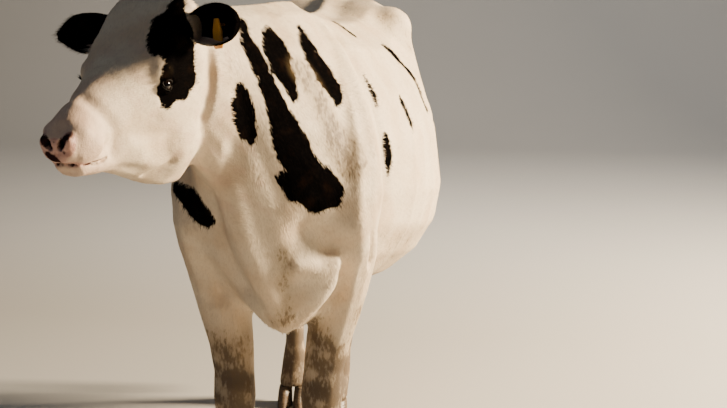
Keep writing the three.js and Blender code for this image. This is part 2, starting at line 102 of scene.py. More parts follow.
def step(low, high, value):
    """Goes smoothly from 0 at "low" to 1 at "high", whichever of the two is larger."""
    t = np.clip((value - low) / (high - low), 0, 1)
    return t * t * (3 - 2 * t)


def bell(value, reach, power=2):
    return np.exp(-((value / reach) ** power))


def curve(table, at):
    """A smooth curve through the columns of a table whose first column is the place."""
    table = np.array(table, float)
    x, y = table[:, 0], table[:, 1:]
    slope = np.gradient(y, x, axis=0)
    i = np.clip(np.searchsorted(x, at) - 1, 0, len(x) - 2)
    h = (x[i + 1] - x[i])[:, None]
    t = np.clip((at - x[i])[:, None] / h, 0, 1)
    a = (1 + 2 * t) * (1 - t) ** 2 * y[i] + t * (1 - t) ** 2 * h * slope[i]
    return a + t * t * (3 - 2 * t) * y[i + 1] - t * t * (1 - t) * h * slope[i + 1]


def unit(v):
    return v / np.maximum(np.linalg.norm(v, axis=1, keepdims=True), 1e-9)


def near(p, path, along=None):
    """The distance from each point to a path, and the path's radius there (its last column). With "along",
    the distance is measured across that direction."""
    path = np.array(path, float)
    n = path.shape[1] - 1
    if along is not None:
        p, path = p - (p @ along)[:, None] * along, path.copy()
        path[:, :3] -= (path[:, :3] @ along)[:, None] * along
    best, radius = np.full(len(p), 9.0), np.zeros(len(p))
    ends = list(zip(path[:-1], path[1:])) if len(path) > 1 else [(path[0], path[0])]
    for a, b in ends:
        d = b[:n] - a[:n]
        t = np.clip((p - a[:n]) @ d / max(d @ d, 1e-12), 0, 1)
        distance = np.linalg.norm(p - a[:n] - t[:, None] * d, axis=1)
        closer = distance < best
        best[closer] = distance[closer]
        radius[closer] = (a[n] + t * (b[n] - a[n]))[closer]
    return best, radius


# ---- Meshes ----


def placed(name, data):
    """A new object in the scene."""
    made = bpy.data.objects.new(name, data)
    bpy.context.scene.collection.objects.link(made)
    return made


def shade_smooth(mesh):
    mesh.polygons.foreach_set("use_smooth", np.full(len(mesh.polygons), True))


def mesh_object(name, points, faces):
    """An object of faces that all have the same number of corners, from points in cow coordinates."""
    mesh = bpy.data.meshes.new(name)
    points = np.asarray(points) + OFFSET
    mesh.vertices.add(len(points))
    mesh.vertices.foreach_set("co", points.astype(np.float32).ravel())
    faces = np.asarray(faces, dtype=np.int32)
    mesh.loops.add(faces.size)
    mesh.loops.foreach_set("vertex_index", faces.ravel())
    mesh.polygons.add(len(faces))
    mesh.polygons.foreach_set("loop_start", np.arange(len(faces), dtype=np.int32) * faces.shape[1])
    mesh.update(calc_edges=True)
    shade_smooth(mesh)
    return placed(name, mesh)


def fetched(items, attribute, width=3, kind=float):
    """One row of numbers for each of a mesh's items."""
    values = np.empty(len(items) * width, kind)
    items.foreach_get(attribute, values)
    return values.reshape(-1, width)


def read(mesh):
    """A mesh's points, the normals there, and its edges."""
    edges = fetched(mesh.edges, "vertices", 2, int)
    return fetched(mesh.vertices, "co"), fetched(mesh.vertex_normals, "vector"), edges


def triangles_of(mesh):
    mesh.calc_loop_triangles()
    return fetched(mesh.loop_triangles, "vertices", kind=np.int32)


def write(mesh, points):
    """Moves a mesh's points."""
    mesh.vertices.foreach_set("co", points.astype(np.float32).ravel())
    mesh.update()


def store(mesh, name, values):
    layer = mesh.attributes.new(name, "FLOAT_VECTOR", "POINT")
    layer.data.foreach_set("vector", np.asarray(values, np.float32).ravel())


def tube_faces(rings, sides):
    """Four-cornered faces between rings of points that follow one another."""
    i = np.arange((rings - 1) * sides).reshape(rings - 1, sides)
    j = np.roll(i, -1, axis=1)
    return np.stack([i, j, j + sides, i + sides], -1).reshape(-1, 4)


def end_cap(ring):
    """Four-cornered faces across a flat ring of points, from one end of it to the other."""
    pairs = range(len(ring) // 2 - 1)
    return np.array([[ring[k], ring[k + 1], ring[-2 - k], ring[-1 - k]] for k in pairs])


# ---- The skin ----
VOXEL = 0.007
GRID = vdb.createLinearTransform(VOXEL)
FAR = 0.03  # the distance that is written where no solid is near
MARGIN, OWN_MARGIN = 12, 5  # voxels left round the whole cow, and round one solid
SEAM = 0.0015  # how far out the solids are taken to meet
COAT_DEPTH = 0.004
FLESH = [
    name
    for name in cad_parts
    if not any(word in name for word in ("claw", "eye", "ear", "switch", "teat"))
]
# Balls that fill the nostrils and back the ears' roots before the form is modelled: head place and radius.
FILLED = [((0.025, -0.470, -0.078), 0.016), ((0.018, -0.468, -0.080), 0.014), ((0.078, -0.020, 0.004), 0.027),
          ((0.092, -0.026, 0.008), 0.022)]


def surface_of(node):
    """A node's points in cow coordinates, and its triangles."""
    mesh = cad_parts[node].data
    points = fetched(mesh.vertices, "co", kind=np.float32) - OFFSET.astype(np.float32)
    return points, triangles_of(mesh).astype(np.uint32)


def blurred(values, reach, times=3):
    """The mean of each voxel's neighbours up to "reach" away along every axis, taken several times."""
    for _ in range(times):
        for axis in range(3):
            total = np.cumsum(values, axis=axis, dtype=np.float64).astype(np.float32)
            total = np.concatenate([np.zeros_like(np.take(total, [0], axis)), total], axis)
            count = values.shape[axis]
            i = np.arange(count)
            high, low = np.minimum(i + reach + 1, count), np.maximum(i - reach, 0)
            shape = [-1 if a == axis else 1 for a in range(3)]
            values = (np.take(total, high, axis) - np.take(total, low, axis)) / (high - low).reshape(shape)
    return values.astype(np.float32)


def level_set(points, half_width, **faces):
    return vdb.FloatGrid.createLevelSetFromPolygons(points, transform=GRID, halfWidth=half_width, **faces)


def grid_of(values, corner, background):
    grid = vdb.FloatGrid(background)
    grid.transform = GRID
    grid.copyFromArray(values, ijk=corner)
    return grid


def volume_of(parts):
    """Each voxel's distance to the nearest of the solids, negative inside, and the first voxel's number."""
    low = np.floor(np.min([p.min(0) for p, _ in parts], 0) / VOXEL).astype(int) - MARGIN
    high = np.ceil(np.max([p.max(0) for p, _ in parts], 0) / VOXEL).astype(int) + MARGIN
    field = np.full(high - low, FAR, np.float32)
    for points, triangles in parts:
        a = np.floor(points.min(0) / VOXEL).astype(int) - OWN_MARGIN
        b = np.ceil(points.max(0) / VOXEL).astype(int) + OWN_MARGIN
        part = np.empty(b - a, np.float32)
        grid = level_set(points, 4.0, triangles=triangles)
        grid.copyToArray(part, tuple(int(v) for v in a))
        where = tuple(slice(i, j) for i, j in zip(a - low, b - low))
        field[where] = np.minimum(field[where], part)
    return field, low


def joined_flesh():
    """One closed surface round all the nodes of flesh, with the corners between them filled softly."""
    field, low = volume_of([surface_of(node) for node in FLESH + ["eye_left", "eye_right"]])
    axes = [np.arange(a, a + count) * VOXEL for a, count in zip(low, field.shape)]
    x, y, z = np.meshgrid(*axes, indexing="ij", sparse=True)
    for local, radius in FILLED:
        for side in SIDES.values():
            centre = from_head(on_side(local, side))
            ball = np.sqrt((x - centre[0]) ** 2 + (y - centre[1]) ** 2 + (z - centre[2]) ** 2) - radius
            field = np.minimum(field, ball.astype(np.float32))
    corner = tuple(int(v) for v in low)
    points, quads = grid_of(field, corner, FAR).convertToQuads(isovalue=SEAM)
    grid = level_set(points.astype(np.float32), 9.0, quads=quads)
    grid.copyToArray(field, corner)
    # Small forms keep their own corners: the face, the feet and the tail.
    forwards = -sum((v - POLL[i]) * HEAD_AXES[i, 1] for i, v in enumerate((x, y, z)))
    keep = np.maximum(step(0.0, 0.06, forwards) * step(0.8, 0.9, z), step(0.62, 0.50, z))
    keep = np.maximum(keep, step(1.42, 1.47, y) * (z < 1.3))
    field = np.minimum(field, blurred(field, 2) + FAR * keep) + COAT_DEPTH * (1 - 0.6 * keep)
    points, quads = grid_of(field.astype(np.float32), corner, 2 * FAR).convertToQuads(isovalue=0.0)
    return points.astype(float), quads


def smoothed(points, edges, weight, times, back=-0.52):
    """Evens out the facets; with "back" below zero every second turn undoes the shrinking."""
    i, j = edges[:, 0], edges[:, 1]
    n = len(points)
    count = (np.bincount(i, minlength=n) + np.bincount(j, minlength=n)).clip(1)
    for turn in range(times * 2):
        share = back if turn % 2 else 0.50
        for axis in range(3):
            column = points[:, axis]
            total = np.bincount(i, column[j], n) + np.bincount(j, column[i], n)
            points[:, axis] = column + share * weight * (total / count - column)
    return points


def refined(mesh, chosen):
    """Cuts the chosen faces in four."""
    made = bmesh.new()
    made.from_mesh(mesh)
    made.faces.ensure_lookup_table()
    edges = {e for f in np.flatnonzero(chosen) for e in made.faces[f].edges}
    bmesh.ops.subdivide_edges(made, edges=list(edges), cuts=1, use_grid_fill=True)
    made.to_mesh(mesh)
    made.free()


RUMP_BONES = [(0.20, 1.00, 1.35), (0.13, 1.38, 1.30)]  # hip and pin bone, blended into the rump
# Strokes that model the form: a path, how far each reaches and how high it stands (or how deep it cuts).
# Side strokes are seen from the side, as (y, z), and work on both flanks.
SIDE_STROKES = [
    ([(0.06, 1.34), (-0.02, 1.22), (-0.08, 1.08), (-0.08, 0.98)], 0.032, 0.008),  # shoulder blade's spine
    ([(0.17, 1.36), (0.15, 1.15), (0.14, 0.97), (0.11, 0.90), (0.09, 0.84)], 0.028, -0.014),  # behind it
    ([(0.07, 0.80)], 0.04, 0.010),  # elbow
    ([(-0.06, 0.90), (0.02, 0.84)], 0.03, -0.006),
    ([(0.88, 1.28)], 0.085, -0.024),  # hollow of the flank
    ([(1.15, 1.33), (1.28, 1.31)], 0.055, -0.012),  # between hip and pin
    ([(0.90, 0.86), (0.97, 0.74), (0.96, 0.66)], 0.035, 0.012),  # fold of the flank
    ([(1.03, 0.92), (1.02, 0.82)], 0.05, 0.010),  # stifle
    ([(1.30, 0.79), (1.34, 0.70), (1.35, 0.64)], 0.018, -0.012),  # in front of the hock's tendon
    ([(1.22, 1.05), (1.30, 0.92)], 0.03, -0.008),
]


def rib(number):
    """A rib's stroke: its path, its reach and its height."""
    y = 0.36 + 0.095 * number
    top = 1.30 - 0.045 * number * 0.4
    return [(y, top), (y + 0.02, 1.05), (y - 0.03, 0.80)], 0.020, 0.0035


RIBS = [rib(number) for number in range(6)]
# Strokes in cow coordinates, on one side only.
CHEST_STROKES = [
    ([(-0.078, -0.350, 1.03), (-0.060, -0.330, 0.95), (-0.030, -0.290, 0.84), (0.006, -0.245, 0.73),
      (0.03, -0.21, 0.67)], 0.030, 0.022),  # edge of the dewlap
    ([(-0.125, -0.33, 1.00), (-0.112, -0.25, 0.88), (-0.080, -0.205, 0.75)], 0.045, -0.024),  # groove by it
    ([(0.088, -0.243, 0.910), (0.122, -0.213, 0.892), (0.152, -0.190, 0.862)], 0.042, -0.034),  # breast
    ([(0.070, -0.250, 0.818), (0.122, -0.203, 0.806), (0.172, -0.176, 0.822)], 0.022, 0.014),  # shelf
    ([(0.140, -0.172, 0.757), (0.103, -0.189, 0.728)], 0.045, 0.010),
    ([(0.186, -0.172, 0.840), (0.178, -0.124, 0.773), (0.162, -0.088, 0.712), (0.130, -0.110, 0.690)],
     0.022, -0.020),
    ([(-0.190, -0.150, 0.86), (-0.170, -0.110, 0.78), (-0.150, -0.090, 0.71)], 0.024, -0.014),  # upper arm
    ([(0.196, -0.165, 0.90), (0.204, -0.120, 0.84)], 0.045, 0.014),  # points of the shoulders
    ([(-0.185, -0.178, 0.90), (-0.19, -0.14, 0.85)], 0.05, 0.012),
    ([(0.247, -0.112, 0.880), (0.246, -0.086, 0.835), (0.240, -0.050, 0.790)], 0.014, -0.012),  # crease
    ([(-0.096, -0.402, 1.130), (-0.074, -0.385, 1.085), (-0.046, -0.405, 1.120)], 0.034, -0.014),  # throat
    ([(-0.03, -0.42, 1.26), (0.01, -0.38, 1.12), (0.05, -0.33, 1.00)], 0.024, -0.007),  # jugular groove
]
# Strokes in head coordinates (left, back, up from the poll), on both sides.
FACE_STROKES = [
    ([(0.088, -0.125, 0.004), (0.100, -0.160, -0.016), (0.098, -0.200, -0.034)], 0.020, 0.005),  # brow
    ([(0.106, -0.178, -0.031), (0.105, -0.166, -0.045)], 0.013, 0.004),  # upper lid
    ([(0.104, -0.085, -0.055)], 0.030, -0.009),  # temple
    ([(0.088, -0.220, -0.095), (0.070, -0.300, -0.102), (0.056, -0.350, -0.110)], 0.016, 0.005),  # crest
    ([(0.088, -0.225, -0.128), (0.066, -0.310, -0.132)], 0.018, -0.004),
    ([(0.088, -0.115, -0.205)], 0.060, 0.006),  # chewing muscle
    ([(0.030, -0.236, -0.262), (0.050, -0.207, -0.258), (0.068, -0.180, -0.252)], 0.011, -0.008),  # notch
    ([(0.060, -0.150, -0.272)], 0.030, 0.005),
    ([(0.000, -0.230, 0.004), (0.000, -0.420, -0.030)], 0.022, 0.003),  # bridge of the nose
    ([(0.040, -0.455, -0.052), (0.050, -0.435, -0.062)], 0.012, 0.005),  # upper edge of the nostril
    ([(0.048, -0.425, -0.075), (0.054, -0.405, -0.112)], 0.024, 0.008),  # upper lip
    ([(0.020, -0.372, -0.022), (0.040, -0.368, -0.048), (0.050, -0.352, -0.083), (0.047, -0.340, -0.122),
      (0.044, -0.356, -0.150)], 0.017, -0.007),  # behind the muzzle
    ([(0.052, -0.300, -0.150), (0.050, -0.268, -0.190)], 0.024, 0.005),  # cheek
    ([(0.030, -0.325, -0.190), (0.034, -0.262, -0.225)], 0.016, -0.005),
    ([(0.030, -0.455, -0.150), (0.044, -0.420, -0.156)], 0.014, 0.004),  # lower lip
    ([(0.000, -0.483, -0.100), (0.000, -0.480, -0.128)], 0.005, -0.0025),  # cleft of the muzzle
]
NOSTRIL = [(0.012, -0.482, -0.086, 0.0050), (0.016, -0.478, -0.079, 0.0078), (0.022, -0.469, -0.072, 0.0078),
           (0.029, -0.458, -0.066, 0.0042)]
MOUTH = [(0.000, -0.470, -0.129, 0.004), (0.018, -0.460, -0.131, 0.004), (0.029, -0.445, -0.136, 0.004),
         (0.036, -0.422, -0.144, 0.004), (0.041, -0.400, -0.150, 0.0035), (0.046, -0.378, -0.152, 0.003)]
MOUTH_DEPTH, NOSTRIL_DEPTH = 0.009, 0.024
CHIN_SHIFT = np.array([0.0, 0.011, -0.005])  # the lower jaw ends behind the upper lip
SLIT = (0.0185, 0.0115)  # half length and half height of the opening between the lids
SLIT_TILT = math.radians(34)  # how far the inner corner is raised from the line of the face
LID_RADIUS, LID_SWELL = 0.0235, 0.0015  # the lids from the eye's centre, and what their thickest ring adds
SOCKET_RADIUS = 0.0165  # the skin behind the ball


def lift_by(strokes, p, lift, weight=1.0):
    """Adds what the strokes raise, or cut, to each point's lift."""
    for path, reach, height in strokes:
        distance, _ = near(p, [(*q, 0) for q in path])
        lift += height * bell(distance, reach) * weight


def modelled_body(points, normals):
    x, y, z = points.T
    lift = np.zeros(len(points))
    lift_by(SIDE_STROKES + RIBS, points[:, 1:], lift, step(0.05, 0.12, np.abs(x)))
    lift_by(CHEST_STROKES, points, lift)
    # The spine stands up along the back, with a groove on either side.
    back = step(1.30, 1.38, z) * step(0.0, 0.15, y) * step(1.40, 1.25, y)
    lift += back * (0.006 * bell(x, 0.022) - 0.004 * bell(np.abs(x) - 0.055, 0.03))
    return points + lift[:, None] * normals


def slit_ring(d):
    """How far out the places round an eye lie: 1 is the edge of the opening between the lids."""
    forwards, upwards = -d[:, 1], d[:, 2]
    c, s = math.cos(SLIT_TILT), math.sin(SLIT_TILT)
    along, across = forwards * c + upwards * s, -forwards * s + upwards * c
    return np.sqrt((along / SLIT[0]) ** 2 + (across / SLIT[1]) ** 2)


def lids_raised(p, side):
    """Stands the lids round an eye; between them the skin passes behind the ball."""
    centre = on_side(EYE, side)
    d = p - centre
    r = np.linalg.norm(d, axis=1)
    close = (r < 0.060) & (d[:, 0] * side > -0.004)
    ring = slit_ring(d)
    inside = step(1.10, 0.92, ring)
    lid = LID_RADIUS + LID_SWELL * bell(ring - 1.35, 0.35)
    target = lid * (1 - inside) + SOCKET_RADIUS * inside
    wanted = np.maximum(r, target) * (1 - inside) + target * inside
    share = np.maximum(step(0.048, 0.024, r) * close, inside)
    scale = np.where(close, (r + (wanted - r) * share) / np.maximum(r, 1e-6), 1)
    return centre + d * scale[:, None]


def modelled_face(points, normals):
    local = to_head(points)
    here = np.flatnonzero((local[:, 1] < 0.06) & (np.abs(local[:, 0]) < 0.2) & (local[:, 2] > -0.36))
    p = local[here]
    left = to_left(p)
    lift = np.zeros(len(p))
    lift_by(FACE_STROKES, left, lift)
    distance, radius = near(left, MOUTH)
    lift -= MOUTH_DEPTH * bell(distance, radius)
    p = p + lift[:, None] * (normals[here] @ HEAD_AXES)
    chin = step(-0.136, -0.152, p[:, 2]) * step(-0.36, -0.42, p[:, 1])
    p += chin[:, None] * CHIN_SHIFT
    distance, radius = near(to_left(p), NOSTRIL)
    p += bell(distance, radius, 4)[:, None] * np.array([0, NOSTRIL_DEPTH, 0])
    for side in SIDES.values():
        p = lids_raised(p, side)
    points[here] = from_head(p)
    return points


def build_skin():
    """The skin is modelled in cow coordinates and goes to its place in the frame last."""
    points, quads = joined_flesh()
    skin = mesh_object("skin", points - OFFSET, quads)
    mesh = skin.data
    points, _, edges = read(mesh)
    face = step(0.02, -0.06, to_head(points)[:, 1]) * step(0.75, 0.85, points[:, 2])
    points = smoothed(points, edges, 1 - 0.45 * face, 14)
    left = to_left(points)
    bones = sum(bell(np.linalg.norm(left - np.array(p), axis=1), 0.10, 4) for p in RUMP_BONES)
    points = smoothed(points, edges, np.minimum(bones, 1.0), 16, 0.50)
    write(mesh, points)
    points, normals, _ = read(mesh)
    write(mesh, modelled_body(points, normals))
    # The face has finer facets, and the muzzle and the eyes the finest.
    for level in range(2):
        middles = fetched(mesh.polygons, "center")
        local = to_head(middles)
        chosen = (-local[:, 1] > -0.03) & (middles[:, 2] > 0.9) & (np.abs(local[:, 0]) < 0.2)
        if level:
            chosen &= (-local[:, 1] > 0.36) | (eye_distance(local) < 0.055)
        refined(mesh, chosen)
        points, _, edges = read(mesh)
        face = step(-0.05, 0.0, -to_head(points)[:, 1]) * (points[:, 2] > 0.9)
        write(mesh, smoothed(points, edges, face, 3))
    points, normals, _ = read(mesh)
    write(mesh, modelled_face(points, normals))
    points, _, edges = read(mesh)
    face = (-to_head(points)[:, 1] > 0.0) * (points[:, 2] > 0.9)
    write(mesh, smoothed(points, edges, 0.6 * face, 1))
    shade_smooth(mesh)
    points, _, _ = read(mesh)
    write(mesh, points + OFFSET)
    return skin


# ---- Ears and teats ----
# An ear is a leaf rolled round its own length: place along it, radius, degrees that stand open, thickness.
EAR = [
    (0.000, 0.027, 60, 0.012),
    (0.035, 0.035, 100, 0.009),
    (0.080, 0.046, 150, 0.008),
    (0.125, 0.047, 185, 0.007),
    (0.160, 0.038, 210, 0.0065),
    (0.184, 0.022, 235, 0.006),
    (0.196, 0.009, 250, 0.005),
]
EAR_ROOT = np.array([0.084, -0.020, 0.006])
EAR_POSE = {"left": (30, 14, -20), "right": (0, -6, -10)}  # forwards, upwards and roll, in degrees
EAR_LENGTH, EAR_ROWS, EAR_COLUMNS = 0.1945, 34, 25
# A teat's outline in millimetres: radius, and height over the udder's skin.
TEAT = [(0.5, -78), (5, -77.6), (9, -74), (11, -66), (12, -50), (12.3, -38), (14, -10), (17, 8), (18, 11.5)]
TEAT_RADIUS, TEAT_DROP, TEAT_HEIGHT = 17, 78, 90  # half width, depth and height of the node in that outline
TEAT_SIDES = 20


def from_ear(name, p):
    """From places along, out of and across a straight ear to cow coordinates."""
    forwards, upwards, roll = (math.radians(a) for a in EAR_POSE[name])
    turn = rotation((-forwards, "Z"), (-upwards, "Y"), (roll, "X"))
    return from_head(on_side(p @ turn.T + EAR_ROOT, SIDES[name]))


def ear_direction(name, *way):
    return unit(from_ear(name, np.array([way], float)) - from_ear(name, np.zeros((1, 3))))


def ear_mesh(name):
    """The leaf's points in cow coordinates, its faces, and for each point: its place along and across, and
    whether it is inside."""
    along = np.linspace(0.004, EAR_LENGTH, EAR_ROWS)
    across = np.linspace(-1, 1, EAR_COLUMNS)
    radius, gap, thick = (column[:, None] for column in curve(EAR, along).T)
    a, c = np.meshgrid(along, across, indexing="ij")
    angle = c * np.radians(360 - gap) / 2
    angle = angle * (1 - 0.02 * np.sin(a * 90) * np.abs(c))
    layers = []
    for inside in (0, 1):
        depth = 0.0015 + inside * (thick - 0.003) * (1 - np.abs(c) ** 5 * 0.85)
        r = np.maximum(radius - depth, 0.0008)
        ridges = 0.0012 * np.cos(angle * 7) * step(0.03, 0.08, a) * (1 - c**2)
        r = r + inside * ridges
        layers.append(np.stack([a, r * np.cos(angle), r * np.sin(angle)], -1))
    ring = np.concatenate([layers[0], layers[1][:, ::-1]], 1)
    rows, columns = ring.shape[:2]
    points = ring.reshape(-1, 3)
    root, tip = np.arange(columns), np.arange(len(points) - columns, len(points))
    faces = np.concatenate([tube_faces(rows, columns), end_cap(tip), end_cap(root)[:, [1, 0, 3, 2]]])
    places = np.stack([a, c, 0 * c], -1)
    info = np.concatenate([places, places[:, ::-1] + np.array([0, 0, 1])], 1).reshape(-1, 3)
    if SIDES[name] < 0:
        faces = faces[:, ::-1]
    return from_ear(name, points), faces, info


def teat_mesh(node):
    """A teat turned round its own axis to fill the node's box."""
    low, high = (np.array(c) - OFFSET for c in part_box(node))
    middle, height = (low + high) / 2, high[2] - low[2]
    radius = (high[0] - low[0]) / 2 / TEAT_RADIUS - 0.00003
    turns = np.linspace(0, 2 * math.pi, TEAT_SIDES, endpoint=False)
    points = [
        (
            middle[0] + r * radius * math.cos(t),
            middle[1] + r * radius * math.sin(t),
            low[2] + (h + TEAT_DROP) / TEAT_HEIGHT * height,
        )
        for r, h in TEAT
        for t in turns
    ]
    return np.array(points), tube_faces(len(TEAT), TEAT_SIDES)


# ---- Markings ----
# Black patches as strokes with a radius at each place, in cow coordinates. The near ones are drawn as seen
# along LOOK, so their radii are measured across it.
LOOK = unit(np.array([[-0.13, 0.985, -0.115]]))[0]
BLACK = [
    [(-0.030, -0.426, 1.274, 0.009), (-0.024, -0.433, 1.239, 0.024), (-0.022, -0.410, 1.195, 0.027),
     (-0.018, -0.393, 1.162, 0.021), (-0.012, -0.379, 1.142, 0.012)],
    [(-0.043, -0.339, 1.417, 0.009), (-0.028, -0.356, 1.382, 0.013), (-0.011, -0.356, 1.346, 0.019),
     (0.012, -0.346, 1.292, 0.019), (0.034, -0.332, 1.242, 0.020), (0.050, -0.323, 1.187, 0.030),
     (0.067, -0.312, 1.136, 0.041), (0.079, -0.302, 1.098, 0.041), (0.103, -0.280, 1.049, 0.048),
     (0.120, -0.264, 1.005, 0.048), (0.125, -0.259, 0.990, 0.038)],
    [(0.140, -0.241, 1.045, 0.026), (0.160, -0.223, 1.009, 0.027), (0.157, -0.225, 0.986, 0.026)],
    [(0.049, -0.323, 1.050, 0.016), (0.077, -0.297, 1.009, 0.022)],
    [(0.008, -0.262, 1.394, 0.012), (0.023, -0.277, 1.361, 0.026), (0.035, -0.282, 1.330, 0.029),
     (0.052, -0.280, 1.293, 0.025), (0.065, -0.276, 1.264, 0.016), (0.073, -0.276, 1.234, 0.007)],
    [(0.060, -0.101, 1.399, 0.004), (0.077, -0.125, 1.369, 0.013), (0.096, -0.145, 1.332, 0.020),
     (0.119, -0.133, 1.294, 0.023), (0.143, -0.119, 1.253, 0.022), (0.158, -0.114, 1.226, 0.016),
     (0.159, -0.132, 1.208, 0.007)],
    [(0.201, 0.146, 1.263, 0.003), (0.219, 0.146, 1.232, 0.006), (0.230, 0.150, 1.206, 0.006),
     (0.237, 0.145, 1.179, 0.003)],
    [(0.278, 0.396, 1.189, 0.003), (0.292, 0.402, 1.154, 0.007), (0.306, 0.410, 1.120, 0.007),
     (0.317, 0.407, 1.085, 0.003)],
    [(0.258, 0.149, 1.105, 0.006), (0.262, 0.140, 1.083, 0.011), (0.267, 0.144, 1.052, 0.012),
     (0.269, 0.140, 1.021, 0.009), (0.268, 0.130, 0.994, 0.004)],
    [(0.090, 0.342, 1.403, 0.003), (0.119, 0.388, 1.381, 0.004), (0.153, 0.399, 1.354, 0.003)],
    [(0.211, 0.638, 1.323, 0.006), (0.235, 0.667, 1.302, 0.008), (0.259, 0.677, 1.272, 0.008),
     (0.285, 0.720, 1.245, 0.007), (0.307, 0.702, 1.208, 0.006), (0.325, 0.698, 1.164, 0.005),
     (0.343, 0.720, 1.111, 0.003)],
    [(-0.239, -0.165, 0.998, 0.017), (-0.201, -0.202, 0.982, 0.029), (-0.173, -0.223, 0.952, 0.028),
     (-0.151, -0.255, 0.933, 0.024)],
]
# The side and back that face away.
BLACK_BEYOND = [
    [(-0.17, -0.20, 1.34, 0.03), (-0.20, -0.15, 1.24, 0.06), (-0.23, -0.10, 1.13, 0.07),
     (-0.23, -0.15, 1.05, 0.03)],
    [(-0.06, 0.12, 1.42, 0.04), (-0.16, 0.16, 1.31, 0.07), (-0.225, 0.19, 1.20, 0.055),
     (-0.255, 0.20, 1.10, 0.03)],
    [(-0.10, 0.47, 1.39, 0.05), (-0.22, 0.56, 1.31, 0.09), (-0.31, 0.63, 1.20, 0.085),
     (-0.345, 0.62, 1.08, 0.05), (-0.36, 0.56, 0.97, 0.025)],
    [(-0.28, 0.48, 1.22, 0.05), (-0.33, 0.45, 1.12, 0.03)],
    [(-0.26, 1.06, 1.18, 0.06), (-0.28, 0.96, 1.12, 0.035)],
    [(-0.20, 1.02, 1.36, 0.06), (-0.26, 1.10, 1.22, 0.09), (-0.26, 1.18, 1.06, 0.07),
     (-0.25, 1.22, 0.92, 0.04)],
    [(0.24, 1.16, 1.18, 0.03), (0.26, 1.24, 1.06, 0.05), (0.24, 1.26, 0.94, 0.03)],
    [(0.00, 1.40, 1.40, 0.04), (0.00, 1.49, 1.33, 0.05), (0.00, 1.50, 1.20, 0.05), (0.01, 1.49, 1.04, 0.03)],
]
# The left side of the head, in head coordinates and drawn as seen along LOOK_FACE.
LOOK_FACE = unit(np.array([[-0.505, 0.809, -0.301]]))[0]
BLACK_FACE = [
    [(0.065, -0.018, 0.066, 0.013), (0.074, -0.049, 0.058, 0.022), (0.086, -0.092, 0.036, 0.041),
     (0.095, -0.119, 0.009, 0.045)],
    [(0.058, -0.098, 0.043, 0.017), (0.059, -0.133, 0.028, 0.015), (0.074, -0.167, 0.008, 0.015)],
    [(0.107, -0.125, -0.030, 0.033), (0.106, -0.138, -0.055, 0.037), (0.102, -0.161, -0.074, 0.035),
     (0.096, -0.184, -0.093, 0.022), (0.092, -0.193, -0.110, 0.010)],
    [(0.108, -0.118, -0.079, 0.022), (0.103, -0.136, -0.100, 0.017)],
]
# Its right side.
BLACK_FACE_BEYOND = [
    [(-0.085, -0.040, 0.030, 0.028), (-0.104, -0.100, -0.010, 0.034), (-0.108, -0.150, -0.050, 0.040),
     (-0.104, -0.190, -0.080, 0.038), (-0.094, -0.200, -0.120, 0.020)],
]
MUZZLE_SPOTS = [
    [(-0.019, -0.482, -0.100, 0.0075), (-0.013, -0.482, -0.107, 0.0095)],
    [(-0.007, -0.480, -0.112, 0.0065), (0.001, -0.476, -0.118, 0.0045)],
    [(0.020, -0.482, -0.096, 0.0028)],
    [(0.001, -0.481, -0.074, 0.002)],
    [(-0.020, -0.470, -0.145, 0.006)],
]
BARE = [  # the moist pad of the muzzle, the lips' edges and the nostrils' rims
    [(0.000, -0.488, -0.075, 0.018), (0.000, -0.488, -0.108, 0.026)],
    [(0.000, -0.488, -0.095, 0.026), (0.022, -0.484, -0.088, 0.024), (0.034, -0.470, -0.070, 0.015)],
    [(0.000, -0.476, -0.126, 0.012), (0.018, -0.466, -0.128, 0.010), (0.031, -0.452, -0.132, 0.007),
     (0.037, -0.425, -0.143, 0.004)],
]
# Where mud and dung have dried in the coat, and how thickly: cow coordinates and radius.
MUD_STROKES = [
    ([(0.081, -0.221, 1.297, 0.025), (0.138, -0.192, 1.198, 0.035), (0.197, -0.173, 1.073, 0.045)], 0.72),
    ([(0.244, 0.160, 0.827, 0.03), (0.284, 0.374, 0.760, 0.05), (0.320, 0.560, 0.740, 0.05)], 0.45),
    ([(0.050, -0.280, 0.860, 0.010), (0.047, -0.250, 0.760, 0.014), (0.040, -0.210, 0.680, 0.022)], 0.62),
    ([(0.205, 0.900, 1.400, 0.040), (0.270, 0.949, 1.325, 0.040), (0.270, 1.10, 1.25, 0.04)], 0.50),
    ([(0.100, 0.740, 1.390, 0.020), (0.085, 0.909, 1.421, 0.040), (0.000, 1.05, 1.45, 0.03)], 0.45),
    ([(0.268, 0.060, 1.120, 0.03), (0.275, 0.080, 1.000, 0.04)], 0.60),
    ([(-0.30, 0.30, 0.80, 0.06), (-0.34, 0.60, 0.74, 0.07), (-0.30, 0.90, 0.80, 0.06)], 0.75),
    ([(-0.20, 1.30, 1.00, 0.05), (-0.22, 1.25, 0.85, 0.06)], 0.70),
    ([(0.20, 1.30, 1.00, 0.05), (0.22, 1.22, 0.85, 0.06)], 0.70),
]
INK_SPAN = 0.06  # the distance across a patch's edge over which ink goes from 0 to 1
MOUTH_SHADE_WIDTH = 0.0042  # of the painted shade line between the lips
CLEAN, CAKED_AND_SHADE = 0.10, 0.90  # the mud all over the coat, and how much more there is low on the legs, partly real mud and partly painted shade
UNDERSIDE = 0.55  # the mud under the belly and on the hind legs
# Over each upper lid, dust colour is mixed in as a painted highlight on the lid's bulge; the cheeks carry
# real dust.
LID_SHEEN_SPOT, LID_SHEEN, CHEEK_DUST = np.array([0.105, -0.172, -0.036]), 0.26, 0.30


def depth_in(p, strokes, along=None):
    """How far inside the strokes each point is; negative outside."""
    best = np.full(len(p), -1.0)
    for path in strokes:
        low, high = np.min(path, 0)[:3] - 0.12, np.max(path, 0)[:3] + 0.12
        here = np.flatnonzero(np.all((p > low) & (p < high), axis=1))
        if len(here):
            distance, radius = near(p[here], path, along)
            best[here] = np.maximum(best[here], radius - distance)
    return best


